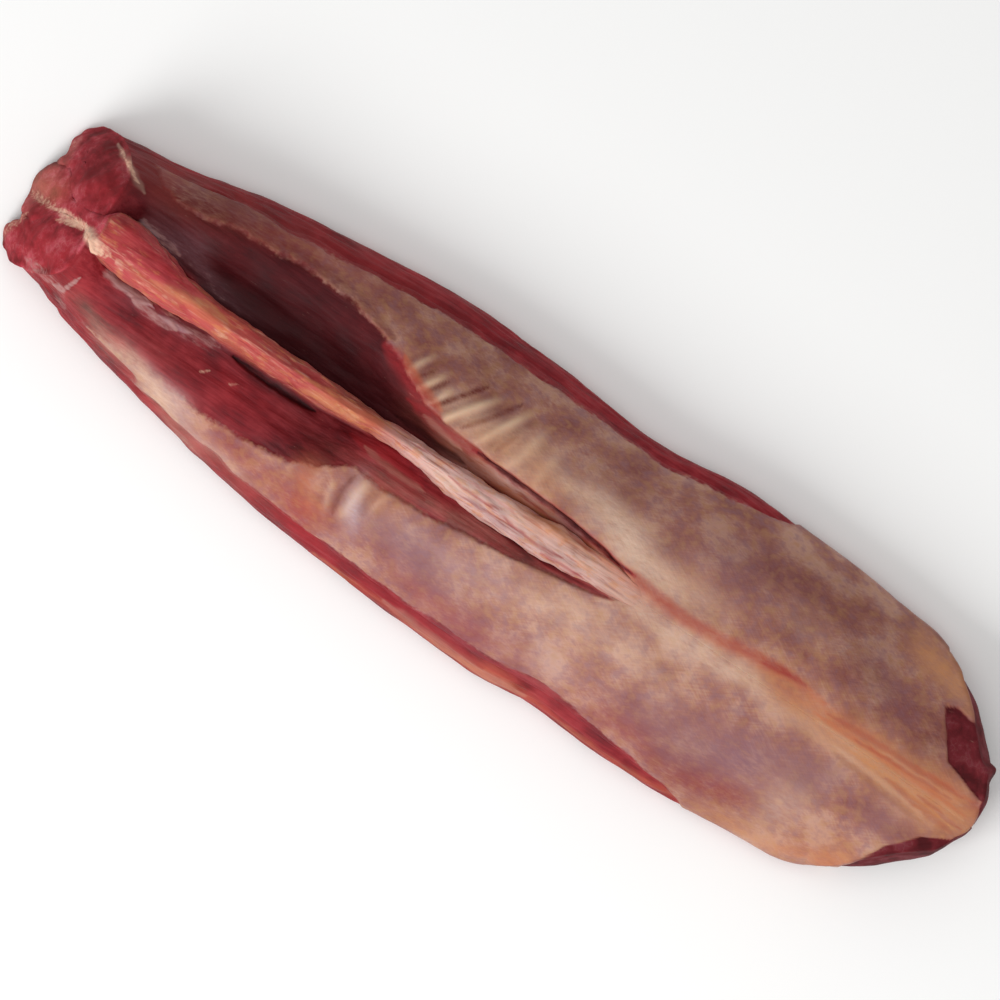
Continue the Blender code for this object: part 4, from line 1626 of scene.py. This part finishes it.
@dataclass(frozen=True)
class SaddleSurface:
    """The whole saddle's surface: muscle, silver skin and ridge tissue, laid by the painted values."""

    # Raw meat lets light in by a millimetre or two, red furthest, which softens its shadows. A
    # thin wet film gives it small, soft highlights.
    muscle: Muscle = field(default_factory=Muscle)
    cut: CutFace = field(default_factory=CutFace)
    skin: SilverSkin = field(default_factory=SilverSkin)
    ridge: RidgeTissue = field(default_factory=RidgeTissue)
    relief: float = 0.45
    light_let_in: float = 0.12
    light_depth: float = 2.0
    light_spread: tuple[float, float, float] = (1.0, 0.3, 0.2)
    specular_level: float = 0.12
    wet_film: float = 0.02
    wet_film_roughness: float = 0.25
    # The frayed edge of the skin: its grain, how far it wanders and how soft it is.
    fray: float = 2.5
    fray_reach: float = 4.0
    edge_blur: float = 1.3
    # The grain that breaks up the tints.
    grain_length: float = 5.0
    grain_width: float = 1.5

    def material(self) -> bpy.types.Material:
        """Make the material.

        Returns:
            The finished material.
        """
        made = bpy.data.materials.new("raw_venison_and_silver_skin")
        made.use_nodes = True
        tree = made.node_tree
        shader = tree.nodes["Principled BSDF"]
        place = add(tree, "TexCoord", output="Object")
        painted = {
            name: add(tree, "Attribute", settings={"attribute_name": name}, output="Fac")
            for name in ("bare", "flank", "under", "cut", "ridge", "dark_meat_and_shade")
        }
        skinned = self.skin_share(tree, place, painted)
        layers = self.muscle.coat(tree, place)
        layers = layers.under(tree, self.cut.coat(tree, place), painted["cut"])
        # Painted shade, with some of the meat's own darker tone, over the bare meat and the rear cuts.
        layers = layers.tinted(tree, Tint.SHADE.value, painted["dark_meat_and_shade"])
        layers = layers.under(tree, self.skin.coat(tree, place), skinned)
        layers = layers.under(tree, self.ridge.coat(tree, place), painted["ridge"])
        layers = self.lay_tints(tree, place, layers)
        links = {"Height": layers.relief, "Distance": self.relief * MM, "Strength": 1.0}
        tree.links.new(layers.colour, shader.inputs["Base Color"])
        tree.links.new(layers.roughness, shader.inputs["Roughness"])
        tree.links.new(add(tree, "Bump", links), shader.inputs["Normal"])
        shader.inputs["Subsurface Weight"].default_value = self.light_let_in
        shader.inputs["Subsurface Radius"].default_value = self.light_spread
        shader.inputs["Subsurface Scale"].default_value = self.light_depth * MM
        shader.inputs["Specular IOR Level"].default_value = self.specular_level
        shader.inputs["Coat Weight"].default_value = self.wet_film
        shader.inputs["Coat Roughness"].default_value = self.wet_film_roughness
        return made

    def skin_share(self, tree: Tree, place: Socket, painted: dict[str, Socket]) -> Socket:
        """Where the silver skin shows, with frayed edges.

        Args:
            tree: the node tree.
            place: the surface's position.
            painted: the painted values by name.

        Returns:
            The skin's share.
        """
        links = {"Vector": place, "Scale": 1 / (self.fray * MM), "Detail": 3.0}
        fray = add(tree, "TexNoise", links)
        middle, blur = self.fray_reach / 2, self.edge_blur
        covered = []
        for name in ("bare", "flank"):
            links = {0: fray, 1: self.fray_reach, 2: painted[name]}
            edge = add(tree, "Math", links, {"operation": "MULTIPLY_ADD"})
            links = {"Value": edge, "From Min": middle + blur, "From Max": middle - blur}
            covered.append(add(tree, "MapRange", links, SMOOTH))
        links = {0: painted["cut"], 1: painted["under"]}
        hidden = add(tree, "Math", links, {"operation": "MAXIMUM"})
        shown = add(tree, "Math", {0: 1.0, 1: hidden}, {"operation": "SUBTRACT"})
        both = add(tree, "Math", {0: covered[0], 1: covered[1]}, {"operation": "MULTIPLY"})
        return add(tree, "Math", {0: both, 1: shown}, {"operation": "MULTIPLY"})

    def lay_tints(self, tree: Tree, place: Socket, layers: Coat) -> Coat:
        """Blend the painted tints in, each broken up by fine grain.

        Args:
            tree: the node tree.
            place: the surface's position.
            layers: the layers below.

        Returns:
            The tinted layers.
        """
        links = sized(place, self.grain_length, self.grain_width, self.grain_width)
        stretched = add(tree, "Mapping", links)
        links = {"Vector": stretched, "Scale": 1.0, "Detail": 4.0, "Roughness": 0.6}
        grain = add(tree, "TexNoise", links)
        strength = add(tree, "Math", {0: grain, 1: 1.5, 2: 0.25}, {"operation": "MULTIPLY_ADD"})
        for tint in Tint:
            name = {"attribute_name": tint.name.lower()}
            painted = add(tree, "Attribute", settings=name, output="Fac")
            if tint.is_torn:
                links = {0: grain, 1: 1.3, 2: painted}
                frayed = add(tree, "Math", links, {"operation": "MULTIPLY_ADD"})
                links = {"Value": frayed, "From Min": 0.85, "From Max": 1.65, "To Max": 0.92}
                share = add(tree, "MapRange", links, SMOOTH)
            else:
                settings = {"operation": "MULTIPLY", "use_clamp": True}
                share = add(tree, "Math", {0: painted, 1: strength}, settings)
            layers = layers.tinted(tree, tint.value, share)
        return layers


@dataclass(frozen=True)
class SoftLight:
    """A soft square light that faces the saddle: its place and side in metres, its power in watts."""

    name: str
    place: tuple[float, float, float]
    size: float
    power: float

    def hang(self) -> None:
        """Add the light to the scene."""
        data = bpy.data.lights.new(self.name, "AREA")
        data.size = self.size
        data.energy = self.power
        lamp = bpy.data.objects.new(self.name, data)
        lamp.location = self.place
        lamp.rotation_euler = (-Vector(self.place)).to_track_quat("-Z", "Y").to_euler()
        bpy.context.scene.collection.objects.link(lamp)


@dataclass
class Studio:
    """A plain pale floor, soft light from the animal's left and the camera above."""

    key_light: SoftLight = SoftLight("key_light", (-0.35, -1.25, 1.05), 0.9, 17.5)
    top_light: SoftLight = SoftLight("top_light", (0.1, 0.1, 2.0), 1.4, 8.8)
    room_light: float = 0.48
    camera_turn: float = math.radians(34.33)
    camera_distance: float = 6.0
    sensor_width: float = 36.0
    view_width: float = 0.45375
    aim: tuple[float, float, float] = (-0.0014, 0.0022, 0.040)
    floor_size: float = 6.0
    # Matt white board, as photographers lay under food: it gives a soft shadow and no glare.
    floor_colour: str = "#fbfbfa"
    floor_roughness: float = 0.8

    def build(self) -> None:
        """Add the floor, the lights and the camera."""
        self.add_floor()
        self.key_light.hang()
        self.top_light.hang()
        world = bpy.data.worlds.new("pale_room")
        world.use_nodes = True
        background = world.node_tree.nodes["Background"]
        background.inputs["Color"].default_value = (1, 1, 1, 1)
        background.inputs["Strength"].default_value = self.room_light
        bpy.context.scene.world = world
        bpy.context.scene.view_settings.view_transform = "Standard"
        self.add_camera()

    def add_floor(self) -> None:
        """Lay the floor under the saddle."""
        shape = bmesh.new()
        bmesh.ops.create_grid(shape, x_segments=1, y_segments=1, size=self.floor_size / 2)
        mesh = bpy.data.meshes.new("floor")
        shape.to_mesh(mesh)
        shape.free()
        floor = bpy.data.objects.new("floor", mesh)
        bpy.context.scene.collection.objects.link(floor)
        board = bpy.data.materials.new("matt_white_board")
        board.use_nodes = True
        shader = board.node_tree.nodes["Principled BSDF"]
        shader.inputs["Base Color"].default_value = linear(self.floor_colour)
        shader.inputs["Roughness"].default_value = self.floor_roughness
        mesh.materials.append(board)

    def add_camera(self) -> None:
        """Hang the camera straight above, turned so that the saddle runs down to the right."""
        data = bpy.data.cameras.new("camera")
        data.sensor_width = self.sensor_width
        data.lens = self.sensor_width * self.camera_distance / self.view_width
        camera = bpy.data.objects.new("camera", data)
        camera.location = Vector(self.aim) + Vector((0, 0, self.camera_distance))
        camera.rotation_euler = (0.0, 0.0, self.camera_turn)
        bpy.context.scene.collection.objects.link(camera)
        bpy.context.scene.camera = camera


def main() -> None:
    """Build the saddle's pieces in order and report each one."""
    logging.basicConfig(level=logging.INFO, format="%(message)s")
    Studio().build()
    surface = SaddleSurface().material()
    for maker in (Loin(Side.RIGHT), Loin(Side.LEFT), Backbone()):
        piece = maker.build(surface)
        LOG.info("%s: %d faces", piece.name, len(piece.data.polygons))


if __name__ == "__main__":
    main()
